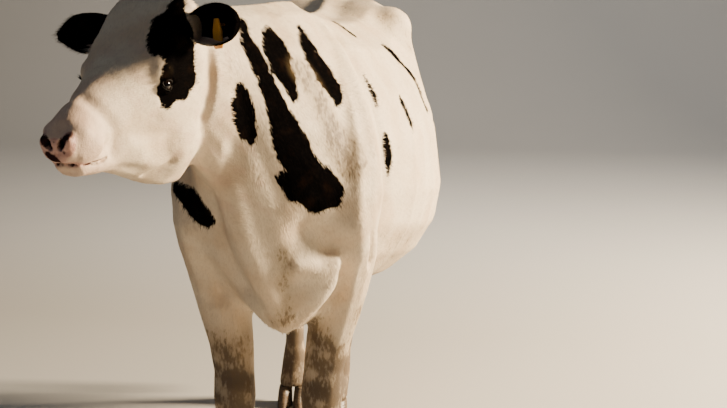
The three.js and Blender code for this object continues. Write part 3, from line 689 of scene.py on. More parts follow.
def ripple(p, size, seed):
    """A smooth random value from about -1 to 1 at each point."""
    made = np.random.default_rng(seed)
    total = np.zeros(len(p))
    for _ in range(7):
        total += np.sin(p @ made.normal(0, 1.9 / size, 3) + made.uniform(0, 6.3))
    return total / 3.2


def mud_at(p, local, on_head):
    """How much mud and dust lies on each point, from 0 to 1. Low on the legs the mud is partly painted shade,
    and over the upper lids it is a painted highlight.
    """
    z = p[:, 2]
    # Darker towards the floor on the legs: partly real mud and partly painted shade.
    legs = step(0.78, 0.46, z + 0.06 * ripple(p, 0.09, 8))
    mud = CLEAN + CAKED_AND_SHADE * legs * (0.92 + 0.18 * ripple(p, 0.05, 14))
    mud = np.maximum(mud, step(0.80, 0.60, z) * step(0.22, 0.34, p[:, 1]) * UNDERSIDE)
    for path, strength in MUD_STROKES:
        mud = np.maximum(mud, strength * step(-0.05, 0.02, depth_in(p, [path]) + 0.012 * ripple(p, 0.05, 10)))
    mud = mud * (1 - 0.9 * on_head)
    # A painted highlight over the upper lid, drawn with the dust colour.
    lid = np.linalg.norm(to_left(local) - LID_SHEEN_SPOT, axis=1)
    mud = np.maximum(mud, LID_SHEEN * bell(lid, 0.020))
    cheek = step(0.08, 0.16, -local[:, 1]) * step(-0.05, -0.14, local[:, 2]) * on_head
    return np.maximum(mud, CHEEK_DUST * cheek * step(-0.2, 1.0, ripple(p, 0.040, 12)))


def ear_marks(p, ear):
    """Ink and bareness on an ear: dark, with a pale root outside and pale lower hair inside."""
    along, across, inside = ear[:, 0], ear[:, 1], ear[:, 2] > 0.5
    ink = np.where(inside, 0.022 + 0.006 * ripple(p, 0.02, 11), 0.03)
    ink = ink + 0.03 * step(0.75, 0.95, np.abs(across))
    ink = ink - 0.06 * step(0.045, 0.02, along) * ~inside
    ink = ink - 0.10 * step(0.135, 0.095, along) * step(-0.30, -0.62, across)
    return ink, np.where(inside, 0.6 * step(-0.9, -0.5, across), 0.0)


def marks(p, ear=None):
    """Ink, mud and bareness at points in cow coordinates. Ink is 0.5 at a patch's edge. Inside the nostrils
    and along the line between the lips the ink is painted shade.
    """
    local = to_head(p)
    on_head = (local[:, 1] < 0.05) & (p[:, 2] > 0.95)
    mud, bare = np.zeros(len(p)), np.zeros(len(p))
    if ear is not None:
        ink, bare = ear_marks(p, ear)
    else:
        here = np.flatnonzero(on_head)
        face = local[here]
        left = to_left(face)
        ink = np.maximum(depth_in(p, BLACK, LOOK), depth_in(p, BLACK_BEYOND))
        for strokes, look in ((BLACK_FACE, LOOK_FACE), (BLACK_FACE_BEYOND, None)):
            ink[here] = np.maximum(ink[here], depth_in(face, strokes, look))
        ink = ink + 0.0025 * ripple(p, 0.03, 3) + 0.0015 * ripple(p, 0.008, 4)
        spots = depth_in(face, MUZZLE_SPOTS) + 0.0012 * ripple(p[here], 0.006, 5)
        # Painted shade: the nostrils' pits and the line between the lips are inked dark.
        nostril_shade = depth_in(left, [NOSTRIL], np.array([0, 1.0, 0])) + 0.001
        mouth_shade = depth_in(left, [[(*q[:3], MOUTH_SHADE_WIDTH) for q in MOUTH]])
        ink[here] = np.maximum.reduce([ink[here], spots, nostril_shade, mouth_shade])
        moist = step(-0.006, 0.004, depth_in(left, BARE) + 0.002 * ripple(p[here], 0.01, 6))
        thin = 0.42 * step(0.26, 0.44, -face[:, 1])
        mottled = 0.17 * step(0.0, 1.0, ripple(p[here], 0.035, 13))
        bare[here] = np.maximum.reduce([moist, thin, mottled])
        mud = mud_at(p, local, on_head)
    return np.clip(np.stack([0.5 + ink / INK_SPAN, mud, bare], -1), 0, 1)


# ---- Materials ----


class Shader:
    """A short way to write a material's nodes."""

    def __init__(self, name):
        self.material = bpy.data.materials.new(name)
        self.material.use_nodes = True
        self.tree = self.material.node_tree
        self.surface = self.tree.nodes["Principled BSDF"]

    def node(self, kind, inputs=None, out=0, **settings):
        made = self.tree.nodes.new("ShaderNode" + kind)
        for key, value in settings.items():
            setattr(made, key, value)
        for key, value in (inputs or {}).items():
            self.give(made.inputs[key], value)
        return made.outputs[out]

    def give(self, socket, value):
        if isinstance(value, bpy.types.NodeSocket):
            self.tree.links.new(value, socket)
        elif isinstance(value, (tuple, list)) and len(value) == 3 and socket.type == "RGBA":
            socket.default_value = (*value, 1)
        else:
            socket.default_value = value

    def set(self, **values):
        """Sets inputs of the surface; their names have _ for each space."""
        for key, value in values.items():
            self.give(self.surface.inputs[key.replace("_", " ")], value)

    def times(self, a, b):
        return self.node("Math", {0: a, 1: b}, operation="MULTIPLY")

    def plus(self, a, b):
        return self.node("Math", {0: a, 1: b}, operation="ADD")

    def times_plus(self, a, b, c):
        return self.node("Math", {0: a, 1: b, 2: c}, operation="MULTIPLY_ADD")

    def mix(self, share, a, b):
        return self.node("Mix", {0: share, 6: a, 7: b}, out=2, data_type="RGBA")

    def ramp(self, value, low, high, to_low=0.0, to_high=1.0):
        inputs = dict(enumerate((value, low, high, to_low, to_high)))
        return self.node("MapRange", inputs, interpolation_type="SMOOTHSTEP")

    def place(self):
        return self.node("TexCoord", out=3)

    def noise(self, scale, detail=3.0, stretch=None, distortion=0.0):
        vector = self.place()
        if stretch:
            vector = self.node("Mapping", {"Vector": vector, "Scale": stretch})
        inputs = {"Vector": vector, "Scale": scale, "Detail": detail, "Distortion": distortion}
        return self.node("TexNoise", inputs)

    def attribute(self, name):
        """The three values stored under a name on the mesh."""
        vector = self.node("Attribute", out=1, attribute_name=name)
        return self.node("SeparateXYZ", {0: vector}).node.outputs

    def bump(self, height, strength, distance):
        return self.node("Bump", {"Height": height, "Strength": strength, "Distance": distance})


WHITE, CREAM, TAN = (0.81, 0.68, 0.51), (0.70, 0.53, 0.36), (0.50, 0.38, 0.27)
SHADED_WHITE, WHITE_TIP = (0.54, 0.42, 0.31), (0.88, 0.80, 0.70)
BLACK_HAIR, BROWN_HAIR = (0.0022, 0.0019, 0.0020), (0.014, 0.0075, 0.0045)
FADED_BLACK = (0.0095, 0.0078, 0.0072)
# The darkest skin colour serves the muzzle's dark spots, and the painted shade inside the nostrils and
# between the lips.
PINK, DEEP_PINK, DARK_SKIN_AND_SHADE = (0.60, 0.33, 0.27), (0.44, 0.20, 0.17), (0.026, 0.011, 0.012)
MUD, STRAW = (0.165, 0.105, 0.058), (0.36, 0.25, 0.12)
# The darkest mud colour: dark wet mud, and low on the legs partly painted shade.
WET_MUD_AND_SHADE, FLECK = (0.070, 0.048, 0.032), (0.09, 0.06, 0.036)


def hair_colours(s, tufts):
    """White hair and black hair, each with its own variation."""
    white = s.mix(s.ramp(s.noise(9.0, 4.0), 0.35, 0.75), WHITE, CREAM)
    fine = s.noise(160.0, 2.0, stretch=(1.0, 0.35, 0.6))
    white = s.mix(s.ramp(fine, 0.45, 0.8, 0.0, 0.35), white, TAN)
    black = s.mix(s.ramp(s.noise(26.0, 3.0), 0.5, 0.8, 0.0, 0.5), BLACK_HAIR, BROWN_HAIR)
    if tufts:
        shade, height, _ = s.attribute("strand")
        white = s.mix(s.times(shade, 0.42), white, SHADED_WHITE)
        white = s.mix(s.ramp(height, 0.3, 1.0, 0.0, 0.2), white, WHITE_TIP)
        black = s.mix(s.times(shade, 0.4), black, FADED_BLACK)
    return white, black


def dirtied(s, colour, mud, edge):
    """The colour under stains of mud, which show less on black hair, and under flecks. The mud also carries
    painted shade low on the legs and a painted highlight over the upper lids.
    """
    dust = s.mix(s.noise(15.0, 3.0), MUD, STRAW)
    # Where the mud is thick it turns dark; low on the legs that darkness is partly painted shade.
    dust = s.mix(s.ramp(mud, 0.55, 1.0, 0.0, 0.85), dust, WET_MUD_AND_SHADE)
    stain = s.times(s.ramp(mud, 0.10, 1.0, 0.0, 0.72), s.ramp(edge, 0.0, 1.0, 1.0, 0.4))
    colour = s.mix(stain, colour, dust)
    coarse = s.times(s.noise(38.0, 6.0, stretch=(1.0, 0.7, 0.45)), 0.55)
    speck = s.times_plus(s.noise(150.0, 4.0, stretch=(1.0, 0.6, 0.4)), 0.5, coarse)
    flecks = s.ramp(s.plus(speck, s.times(mud, 0.42)), 0.75, 0.92)
    return s.mix(s.times(flecks, 0.85), colour, s.mix(s.noise(110.0, 3.0), FLECK, dust))


def coat_material(name, tufts):
    """Hair over skin: the same colours serve the skin below and the tufts on it."""
    s = Shader(name)
    ink, mud, bare = s.attribute("marks")
    white, black = hair_colours(s, tufts)
    if tufts:
        edge = s.ramp(ink, 0.47, 0.53)
    else:
        ragged = s.times_plus(s.noise(120.0, 2.0, stretch=(1.0, 0.4, 0.7)), 0.16, -0.08)
        edge = s.ramp(s.plus(ink, ragged), 0.46, 0.54)
    skin_tone = s.mix(s.ramp(s.noise(60.0, 3.0), 0.4, 0.7), PINK, DEEP_PINK)
    colour = s.mix(s.times(bare, 0.85), white, skin_tone)
    # Ink on bare skin: the muzzle's dark spots, and painted shade in the nostrils and the mouth's line.
    colour = s.mix(edge, colour, s.mix(s.ramp(bare, 0.6, 1.0), black, DARK_SKIN_AND_SHADE))
    s.set(Base_Color=dirtied(s, colour, mud, edge))
    s.set(Roughness=s.times_plus(s.ramp(bare, 0.5, 1.0), -0.22, 0.60))
    s.set(Specular_IOR_Level=s.ramp(edge, 0.0, 1.0, 0.28, 0.0))
    if not tufts:
        pores = s.node("TexVoronoi", {"Vector": s.place(), "Scale": 420.0})
        hair = s.noise(330.0, 3.0, stretch=(1.0, 0.22, 0.55))
        height = s.plus(s.times(hair, 0.8), s.times(s.noise(45.0, 4.0), 0.6))
        height = s.plus(height, s.times(s.times(pores, bare), 0.8))
        s.set(Normal=s.bump(height, 0.5, 0.002))
    return s.material


def lid_material():
    s = Shader("lids")
    s.set(Base_Color=s.mix(s.noise(180.0), (0.006, 0.005, 0.005), (0.014, 0.009, 0.008)), Roughness=0.55)
    s.set(Specular_IOR_Level=0.12, Normal=s.bump(s.noise(700.0), 0.3, 0.001))
    return s.material


def eye_material():
    s = Shader("eye")
    ring, pupil, _ = s.attribute("iris")
    iris = s.mix(s.noise(500.0, 3.0), (0.004, 0.0025, 0.002), (0.012, 0.006, 0.0035))
    white = s.mix(s.noise(220.0), (0.10, 0.06, 0.05), (0.19, 0.14, 0.12))
    white = s.mix(s.ramp(ring, 0.72, 1.0), (0.02, 0.012, 0.010), white)
    colour = s.mix(s.ramp(ring, 0.60, 0.72), iris, white)
    colour = s.mix(s.ramp(pupil, 1.15, 0.9), colour, (0.002, 0.002, 0.003))
    s.set(Base_Color=colour, Roughness=0.05, Specular_IOR_Level=0.32)
    return s.material


def horn_material():
    s = Shader("claw")
    wave = {"Vector": s.place(), "Scale": 34.0, "Distortion": 1.6, "Detail": 2.0}
    rings = s.node("TexWave", wave, bands_direction="Z")
    grain = s.noise(90.0, 4.0, stretch=(1.0, 1.0, 0.25))
    colour = s.mix(grain, (0.045, 0.034, 0.026), (0.150, 0.108, 0.072))
    colour = s.mix(s.times(rings, 0.35), colour, (0.22, 0.165, 0.11))
    dirt = s.ramp(s.noise(22.0, 5.0), 0.42, 0.62)
    colour = s.mix(s.times(dirt, 0.8), colour, (0.13, 0.085, 0.05))
    s.set(Base_Color=colour, Roughness=s.ramp(dirt, 0.0, 1.0, 0.42, 0.85))
    s.set(Normal=s.bump(s.plus(s.times(rings, 0.5), s.plus(grain, dirt)), 0.5, 0.002))
    return s.material


def tag_material():
    s = Shader("tag")
    colour = s.mix(s.noise(60.0, 4.0), (0.78, 0.30, 0.03), (0.88, 0.44, 0.05))
    dirt = s.ramp(s.noise(38.0, 5.0, distortion=0.4), 0.55, 0.75, 0.0, 0.7)
    colour = s.mix(dirt, colour, (0.22, 0.13, 0.06))
    s.set(Base_Color=colour, Roughness=s.ramp(dirt, 0.0, 0.7, 0.38, 0.8))
    s.set(Normal=s.bump(s.noise(300.0, 2.0), 0.15, 0.001))
    return s.material


# ---- Coat ----
DOWN = np.array([0.0, 0.0, -1.0])
# The two kinds of tuft. Each has its faces, and for each point how far its shading leans sideways, how far up
# the tuft it is, and its place in the UV square.
SPIKE = ([(0, 1, 3), (1, 2, 3), (0, 3, 2), (0, 2, 1)],
         (-0.22, 0.22, 0.0, 0.0),
         (0.0, 0.0, 0.4, 1.0),
         [(0, 0), (1, 0), (0.5, 0.4), (0.5, 1)])
JOINTED = ([(0, 2, 1), (0, 1, 4), (0, 4, 3), (1, 2, 5), (1, 5, 4), (2, 0, 3), (2, 3, 5), (3, 4, 6), (4, 5, 6),
            (5, 3, 6)],
           (-0.6, 0.6, 0.0, -0.6, 0.6, 0.0, 0.0),
           (0.0, 0.0, 0.0, 0.5, 0.5, 0.5, 1.0),
           [(0, 0), (1, 0), (0.5, 0.2), (0.2, 0.5), (0.8, 0.5), (0.5, 0.6), (0.5, 1)])
UV_SIZE = 0.003  # of one tuft's square
FULLEST = 260000.0  # tufts to the square metre
# The hair's length, how much shorter it is on the muzzle, and how much longer on the poll, over the knees and
# over the claws.
BODY_HAIR, LEG_HAIR, FACE_HAIR, MUZZLE_LESS = 0.016, 0.0095, 0.010, 0.005
POLL_MORE, KNEE_MORE, CORONET_MORE = 0.012, 0.012, 0.009


def lie(p, n):
    """The way the hair points at each place: back along the face, back and down the body, down the legs."""
    local = to_head(p)
    x, y, z = p.T
    head = step(0.04, -0.02, local[:, 1]) * (z > 0.9)
    up_face = (np.clip(local[:, :1] * 5, -0.5, 0.5) * [1, 0, 0] + [0, 1, -0.25]) @ HEAD_AXES.T
    down_neck = np.sign(x)[:, None] * [0.15, 0, 0] + [0, 0.55, -0.9]
    front = step(0.02, -0.20, y)
    upper_legs = np.maximum(step(0.24, 0.10, np.abs(y + 0.02)), step(0.98, 1.12, y))
    leg = np.maximum(step(0.62, 0.54, z), step(0.98, 0.75, z) * upper_legs)
    tail = (y > 1.455) & (np.abs(x) < 0.08)
    flow = np.tile([0.0, 1.0, -0.35], (len(p), 1))
    for share, way in ((front, down_neck), (leg, np.array([0.0, 0.12, -1.0])), (tail, DOWN), (head, up_face)):
        flow = flow * (1 - share[:, None]) + way * share[:, None]
    turn = np.stack([ripple(p, 0.10, seed) for seed in (21, 22, 23)], -1)
    flow = unit(flow) + 0.16 * turn
    return unit(flow - n * np.sum(flow * n, axis=1, keepdims=True))


def tuft_mesh(name, roots, normals, flow, length, width, rise, mark, uv, material, seed, bend=0.0):
    """One closed spike for each root; "bend" gives it a joint halfway, from which it droops."""
    made = np.random.default_rng(seed)
    count = len(roots)
    side = np.cross(normals, flow)
    swing = made.normal(0, 0.16, count)[:, None]
    flow = unit(flow + side * swing)
    side = unit(np.cross(normals, flow))
    length, width, rise = (np.broadcast_to(v, count)[:, None] for v in (length, width, rise))
    length = length * made.uniform(0.75, 1.2, (count, 1))
    width = width * made.uniform(0.8, 1.2, (count, 1))
    base = roots - normals * 0.0003 - flow * length * 0.2
    left, right = base - side * width / 2, base + side * width / 2
    up = unit(normals + made.normal(0, 0.07, (count, 3)))
    if bend:
        faces, tilts, heights, places = JOINTED
        mid = base + flow * length * 0.5 + normals * rise * 0.8
        tip = mid + unit(flow + DOWN * bend - normals * 0.1) * length * 0.5
        across = side * width * 0.36
        back = base + normals * width * 0.7
        stack = [left, right, back, mid - across, mid + across, mid + normals * width * 0.4, tip]
    else:
        faces, tilts, heights, places = SPIKE
        crest = base + normals * (width * 0.09 + rise * 0.4) + flow * length * 0.4
        stack = [left, right, crest, base + flow * length + normals * rise]
    k = len(stack)
    points = np.stack(stack, 1).reshape(-1, 3)
    faces = (np.array(faces)[None] + (np.arange(count) * k)[:, None, None]).reshape(-1, 3)
    tuft = mesh_object(name, points, faces)
    mesh = tuft.data
    shading = np.stack([unit(up + side * t) for t in tilts], 1).reshape(-1, 3)
    mesh.normals_split_custom_set_from_vertices(shading.astype(np.float32))
    mark = np.repeat(mark, k, axis=0)
    mark[:, 0] = np.clip(mark[:, 0] + np.repeat(made.normal(0, 0.03, count), k), 0, 1)
    store(mesh, "marks", mark)
    shade = np.repeat(made.uniform(0, 1, count) ** 2, k)
    store(mesh, "strand", np.stack([shade, np.tile(heights, count), np.zeros(count * k)], -1))
    at = np.clip(uv[:, None, :], 0.004, 0.993) + np.array(places)[None] * UV_SIZE
    corners = fetched(mesh.loops, "vertex_index", 1, int).ravel()
    layer = mesh.uv_layers.new(name="OFBake")
    layer.data.foreach_set("uv", at.reshape(-1, 2)[corners].astype(np.float32).ravel())
    mesh.materials.append(material)
    return tuft


def scattered(points, normals, triangles, density, seed):
    """Roots strewn over triangles, so many to the square metre, with the surface's normal at each."""
    made = np.random.default_rng(seed)
    a, b, c = (points[triangles[:, i]] for i in range(3))
    area = np.linalg.norm(np.cross(b - a, c - a), axis=1) / 2
    total = np.cumsum(area * density[triangles].mean(1))
    count = int(total[-1])
    picks = np.searchsorted(total, (np.arange(count) + made.uniform(0, 1, count)) * total[-1] / count)
    picks = np.minimum(picks, len(triangles) - 1)
    u, v = made.uniform(0, 1, (2, count, 1))
    flip = (u + v) > 1
    u, v = np.where(flip, 1 - u, u), np.where(flip, 1 - v, v)
    t = triangles[picks]
    shares = [(1 - u - v), u, v]
    root = sum(points[t[:, i]] * shares[i] for i in range(3))
    return root, unit(sum(normals[t[:, i]] * shares[i] for i in range(3)))


def hair_at(p):
    """Length, width and density of the tufts at each place in cow coordinates."""
    local = to_head(p)
    u, z = -local[:, 1], p[:, 2]
    head = step(-0.03, 0.03, u) * (z > 0.95)
    length = BODY_HAIR * (1 - head) + head * (FACE_HAIR - MUZZLE_LESS * step(0.25, 0.42, u))
    poll = bell(u + 0.005, 0.05) * step(0.01, 0.05, local[:, 2]) * (np.abs(local[:, 0]) < 0.09)
    length = length + POLL_MORE * poll
    low = step(0.70, 0.50, z)
    length = length * (1 - low) + LEG_HAIR * low
    length = length + KNEE_MORE * bell(z - 0.63, 0.05) * step(-0.02, -0.10, p[:, 1])
    length = length + CORONET_MORE * bell(z - 0.100, 0.014)
    length = length * (0.35 + 0.65 * step(0.022, 0.06, eye_distance(local)))
    width = np.maximum(0.0009, length * (0.17 + 0.02 * head))
    return length, width, np.minimum(0.95 / (0.5 * length * width), FULLEST)


BODY_SPANS = {"neck": (-0.55, -0.12), "shoulder": (-0.12, 0.22), "ribs": (0.22, 0.62), "belly": (0.62, 1.02),
              "rump": (1.02, 1.56)}  # from y to y
# Each coat piece's name, the kind of its UV map, and its span along the length of that map.
REGIONS = [
    (f"coat_{part}_{side}", "body", span) for side in ("right", "left") for part, span in BODY_SPANS.items()
]
FORE_LEGS, FACE = len(REGIONS), len(REGIONS) + 2
REGIONS += [(f"coat_{pair}_legs", "leg", (0.0, 0.6)) for pair in ("fore", "hind")]
REGIONS.append(("coat_face", "head", (-0.05, 0.52)))


def unrolled(p, kind, span):
    """Places in the UV square: along the body, head or leg, and round it."""
    x, y, z = p.T
    if kind == "body":
        u, v = y, np.arctan2(np.abs(x), z - 1.0) / math.pi
    elif kind == "head":
        local = to_head(p)
        u, v = -local[:, 1], np.arctan2(local[:, 0], local[:, 2] + 0.09) / (2 * math.pi) + 0.5
    else:
        left = x > 0
        centre_y = np.where(y > 0.5, np.where(left, 1.10, 1.28), 0.0)
        centre_x = np.where(left, 0.10, -0.13)
        u, v = z, (np.arctan2(y - centre_y, x - centre_x) / (2 * math.pi) + 0.5) / 2 + 0.5 * left
    return np.stack([(u - span[0]) / (span[1] - span[0]), np.clip(v, 0, 1)], -1)


def region_numbers(p):
    """Which of the REGIONS each place is in."""
    local = to_head(p)
    head = (-local[:, 1] > -0.02) & (p[:, 2] > 0.97) & (np.abs(local[:, 0]) < 0.19) & (local[:, 2] > -0.28)
    left = p[:, 0] > np.where(p[:, 1] < -0.1, -0.04, 0.0)
    cuts = [high for _, high in BODY_SPANS.values()][:-1]
    number = np.searchsorted(cuts, p[:, 1]) + len(BODY_SPANS) * left
    number = np.where(p[:, 2] < 0.58, FORE_LEGS + (p[:, 1] > 0.55), number)
    return np.where(head, FACE, number)


def coat_on(points, normals, triangles, material):
    """The tufts of the body, legs and face, in pieces."""
    _, _, density = hair_at(points)
    bare = marks(points)[:, 2] > 0.7
    udder = step(0.84, 0.76, points[:, 2]) * step(0.84, 0.92, points[:, 1]) * (np.abs(points[:, 0]) < 0.16)
    density = density * ~bare * (1 - 0.85 * udder) * (points[:, 2] > 0.075)
    local = to_head(points)
    for side in SIDES.values():
        d = local - on_side(EYE, side)
        density[(slit_ring(d) < 1.45) & (np.linalg.norm(d, axis=1) < 0.05)] = 0
    roots, up = scattered(points, normals, triangles, density, 31)
    length, width, _ = hair_at(roots)
    mark, flow, number = marks(roots), lie(roots, up), region_numbers(roots)
    made = []
    for k, (name, kind, span) in enumerate(REGIONS):
        here = number == k
        uv = unrolled(roots[here], kind, span)
        made.append(tuft_mesh(name, roots[here], up[here], flow[here], length[here], width[here],
                              length[here] * 0.075, mark[here], uv, material, 40 + k))
    return made


def coat_on_ear(name, points, faces, info, material):
    """Short hair outside, a fringe along the rim and longer hair within."""
    made = bpy.data.meshes.new("t")
    made.from_pydata(points.tolist(), [], faces.tolist())
    made.update()
    _, normals, _ = read(made)
    bpy.data.meshes.remove(made)
    triangles = np.concatenate([faces[:, [0, 1, 2]], faces[:, [0, 2, 3]]])
    inside, rim = info[:, 2] > 0.5, np.abs(info[:, 1]) > 0.9
    density = np.where(rim, 190000.0, np.where(inside, 26000.0, 90000.0)) * step(0.0, 0.03, info[:, 0])
    roots, up = scattered(points, normals, triangles, density, 51)
    nearest = [np.argmin(((points - root) ** 2).sum(-1)) for root in roots]
    where = info[nearest]
    inside, rim = where[:, 2] > 0.5, np.abs(where[:, 1]) > 0.9
    tip, mouth = ear_direction(name, 1, 0, 0), ear_direction(name, 0, -1, 0)
    flow = np.where(rim[:, None], tip * 0.5 + mouth, tip + 0.15 * inside[:, None] * mouth)
    flow = unit(flow - up * np.sum(flow * up, 1, keepdims=True) * 0.85)
    length = np.where(rim, 0.013, np.where(inside, 0.024, 0.0075))
    width = np.where(inside, 0.0011, np.where(rim, 0.0012, 0.0016))
    rise = np.where(inside, 0.005, 0.0012)
    uv = np.stack([where[:, 0] / 0.2, (where[:, 1] * 0.24 + 0.25) + 0.5 * inside], -1)
    mark = marks(roots, where)
    return tuft_mesh(f"coat_ear_{name}", roots, up, flow, length, width, rise, mark, uv, material, 52)


TAIL_PATH = [(0.000, 1.430, 1.392), (0.000, 1.486, 1.340), (0.000, 1.500, 1.230), (0.002, 1.494, 1.040),
             (0.008, 1.484, 0.850), (0.014, 1.478, 0.690), (0.018, 1.478, 0.560), (0.020, 1.482, 0.440),
             (0.022, 1.488, 0.330)]
TAIL_TUFTS = 5200
ROOTS_LOW, ROOTS_HIGH, HAIR_END = 0.36, 0.70, 0.315  # heights of the long hair's roots, and of its lower end


def tail_hair(material):
    """The long hair of the tail's end, hanging in a loose bundle round its core."""
    made = np.random.default_rng(61)
    count = TAIL_TUFTS
    height = ROOTS_LOW + (ROOTS_HIGH - ROOTS_LOW) * made.beta(1.6, 1.1, count)
    x, y, z = np.array(TAIL_PATH)[::-1].T
    centre = np.stack([np.interp(height, z, x), np.interp(height, z, y), height], -1)
    angle = made.uniform(0, 2 * math.pi, count)
    bulge = np.sin(np.clip((0.72 - height) / 0.36, 0, 1) * math.pi)
    spread = 0.012 + 0.020 * bulge * made.uniform(0.3, 1, count)
    out = np.stack([np.cos(angle), np.sin(angle), np.zeros(count)], -1)
    roots = centre + out * spread[:, None]
    length = np.maximum(np.minimum(made.uniform(0.10, 0.20, count), height - HAIR_END), 0.03)
    flow = unit(DOWN + out * made.uniform(-0.02, 0.10, (count, 1)))
    normals = unit(out - flow * np.sum(out * flow, 1, keepdims=True))
    mark = np.tile([0.2, 0.25, 0.0], (count, 1))
    mark[:, 1] += 0.5 * step(0.50, 0.34, height)
    uv = np.stack([(height - 0.30) / 0.45, angle / (2 * math.pi)], -1)
    width, rise, seed, bend = 0.0022, 0.002, 62, 0.25
    return tuft_mesh("tail_hair", roots, normals, flow, length, width, rise, mark, uv, material, seed, bend)


# ---- Eyes ----
RIM_RADIUS, LASH_RADIUS = 0.0225, 0.0245  # from the eye's centre to the lids' wet rim and the lashes' roots
RIM_THICK, THICKER_ABOVE = 0.0017, 0.0011
GAZE = np.array([1.0, -0.34, 0.06])  # the left eye's, in head coordinates
IRIS_ANGLE = 1.05  # from the gaze to where the iris attribute is 1
PUPIL = (0.50, 0.24)  # half width and half height, as shares of the ball's radius
BULGE = 0.07  # how much the clear front stands out, as a share of the radius


def lid_ring(side, t, radius):
    """Points on the edge of the opening between the lids, and the directions outwards from the eye."""
    along, across = SLIT[0] * np.cos(t), SLIT[1] * np.sin(t)
    c, s = math.cos(SLIT_TILT), math.sin(SLIT_TILT)
    forwards, upwards = along * c - across * s, along * s + across * c
    outwards = np.sqrt(np.maximum(radius**2 - forwards**2 - upwards**2, 1e-8))
    local = np.stack([side * outwards, -forwards, upwards], -1)
    return from_head(local + on_side(EYE, side)), unit(local @ HEAD_AXES.T)


def lashes(name, side, material):
    """Long lashes on an eye's upper lid and short ones on the lower."""
    t = np.concatenate([np.linspace(0.12, 0.88, 60), np.linspace(1.15, 1.85, 22)]) * math.pi
    upper = t < math.pi
    roots, out = lid_ring(side, t, LASH_RADIUS)
    flow = unit(out + np.where(upper, 0.55, -0.35)[:, None] * (HEAD_AXES @ np.array([0, 0.1, 1.0])))
    up = unit(np.cross(flow, np.cross(out, flow) + 1e-6))
    length = np.where(upper, 0.017, 0.006)
    mark = np.tile([1.0, 0, 0], (len(t), 1))
    uv = np.stack([np.linspace(0, 1, len(t)), 0.25 + 0.5 * upper], -1)
    width, rise, seed, bend = 0.0011, 0.001, 72 + side, 0.2
    return tuft_mesh(f"lashes_{name}", roots, up, flow, length, width, rise, mark, uv, material, seed, bend)


def lid_mesh(name, side, material):
    """A wet dark rim round the opening, thicker above."""
    count, ring = 72, 10
    t = np.linspace(0, 2 * math.pi, count, endpoint=False)
    centre, out = lid_ring(side, t, RIM_RADIUS)
    along = unit(np.roll(centre, -1, axis=0) - np.roll(centre, 1, axis=0))
    across = np.cross(along, out)
    thick = (RIM_THICK + THICKER_ABOVE * np.clip(np.sin(t), 0, 1))[:, None]
    turns = np.linspace(0, 2 * math.pi, ring, endpoint=False)
    points = [centre + (out * math.cos(a) + across * math.sin(a)) * thick for a in turns]
    points = np.stack(points, 1).reshape(-1, 3)
    faces = tube_faces(count + 1, ring)[:, [0, 3, 2, 1]] % len(points)
    lid = mesh_object(f"lid_{name}", points, faces[:, ::-1] if side > 0 else faces)
    lid.data.materials.append(material)
    return lid


def eyeball(name, side, material):
    """A ball with the clear front standing out a little, facing outwards and forwards."""
    rows, columns = 28, 48
    gaze = unit(on_side(GAZE, side)[None])[0]
    first = unit(np.cross([0, 0, 1.0], gaze)[None])[0]
    second = np.cross(gaze, first)
    points = [gaze]
    for a in np.linspace(0, math.pi, rows)[1:-1]:
        for b in np.linspace(0, 2 * math.pi, columns, endpoint=False):
            points.append(gaze * math.cos(a) + (first * math.cos(b) + second * math.sin(b)) * math.sin(a))
    points = np.array([*points, -gaze])
    off_axis = np.arccos(np.clip(points @ gaze, -1, 1))
    oval = np.sqrt((points @ first / PUPIL[0]) ** 2 + (points @ second / PUPIL[1]) ** 2)
    pupil = np.where(points @ gaze > 0, oval, 9.0)
    scale = EYE_RADIUS * (0.985 + BULGE * step(0.80, 0.25, off_axis))
    local = points * scale[:, None] + on_side(EYE, side)
    last = len(points) - 1
    faces = [(0, 1 + b, 1 + (b + 1) % columns) for b in range(columns)]
    faces += (1 + tube_faces(rows - 2, columns)[:, [0, 3, 2, 1]]).tolist()
    faces += [(last, last - columns + (b + 1) % columns, last - columns + b) for b in range(columns)]
    mesh = bpy.data.meshes.new(f"ball_{name}")
    mesh.from_pydata((from_head(local) + OFFSET).tolist(), [], faces)
    mesh.update()
    shade_smooth(mesh)
    store(mesh, "iris", np.stack([off_axis / IRIS_ANGLE, pupil, np.zeros(len(points))], -1))
    mesh.materials.append(material)
    return placed(f"ball_{name}", mesh)


# ---- The cow put together ----
TEATS = [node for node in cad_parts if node.startswith("teat")]
UDDER_MARKS = [0.0, 0.08, 0.8]  # ink, mud and bareness of the teats


def joined_objects(objects, name):
    """The objects as one, in the place of the first."""
    bpy.ops.object.select_all(action="DESELECT")
    for item in objects:
        item.select_set(True)
    bpy.context.view_layer.objects.active = objects[0]
    bpy.ops.object.join()
    objects[0].name = name
    return objects[0]


def hide_object(name, points, faces, mark, material):
    made = mesh_object(name, points, faces)
    store(made.data, "marks", mark)
    made.data.materials.append(material)
    return made


def handed_in(piece):
    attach(piece, "root")


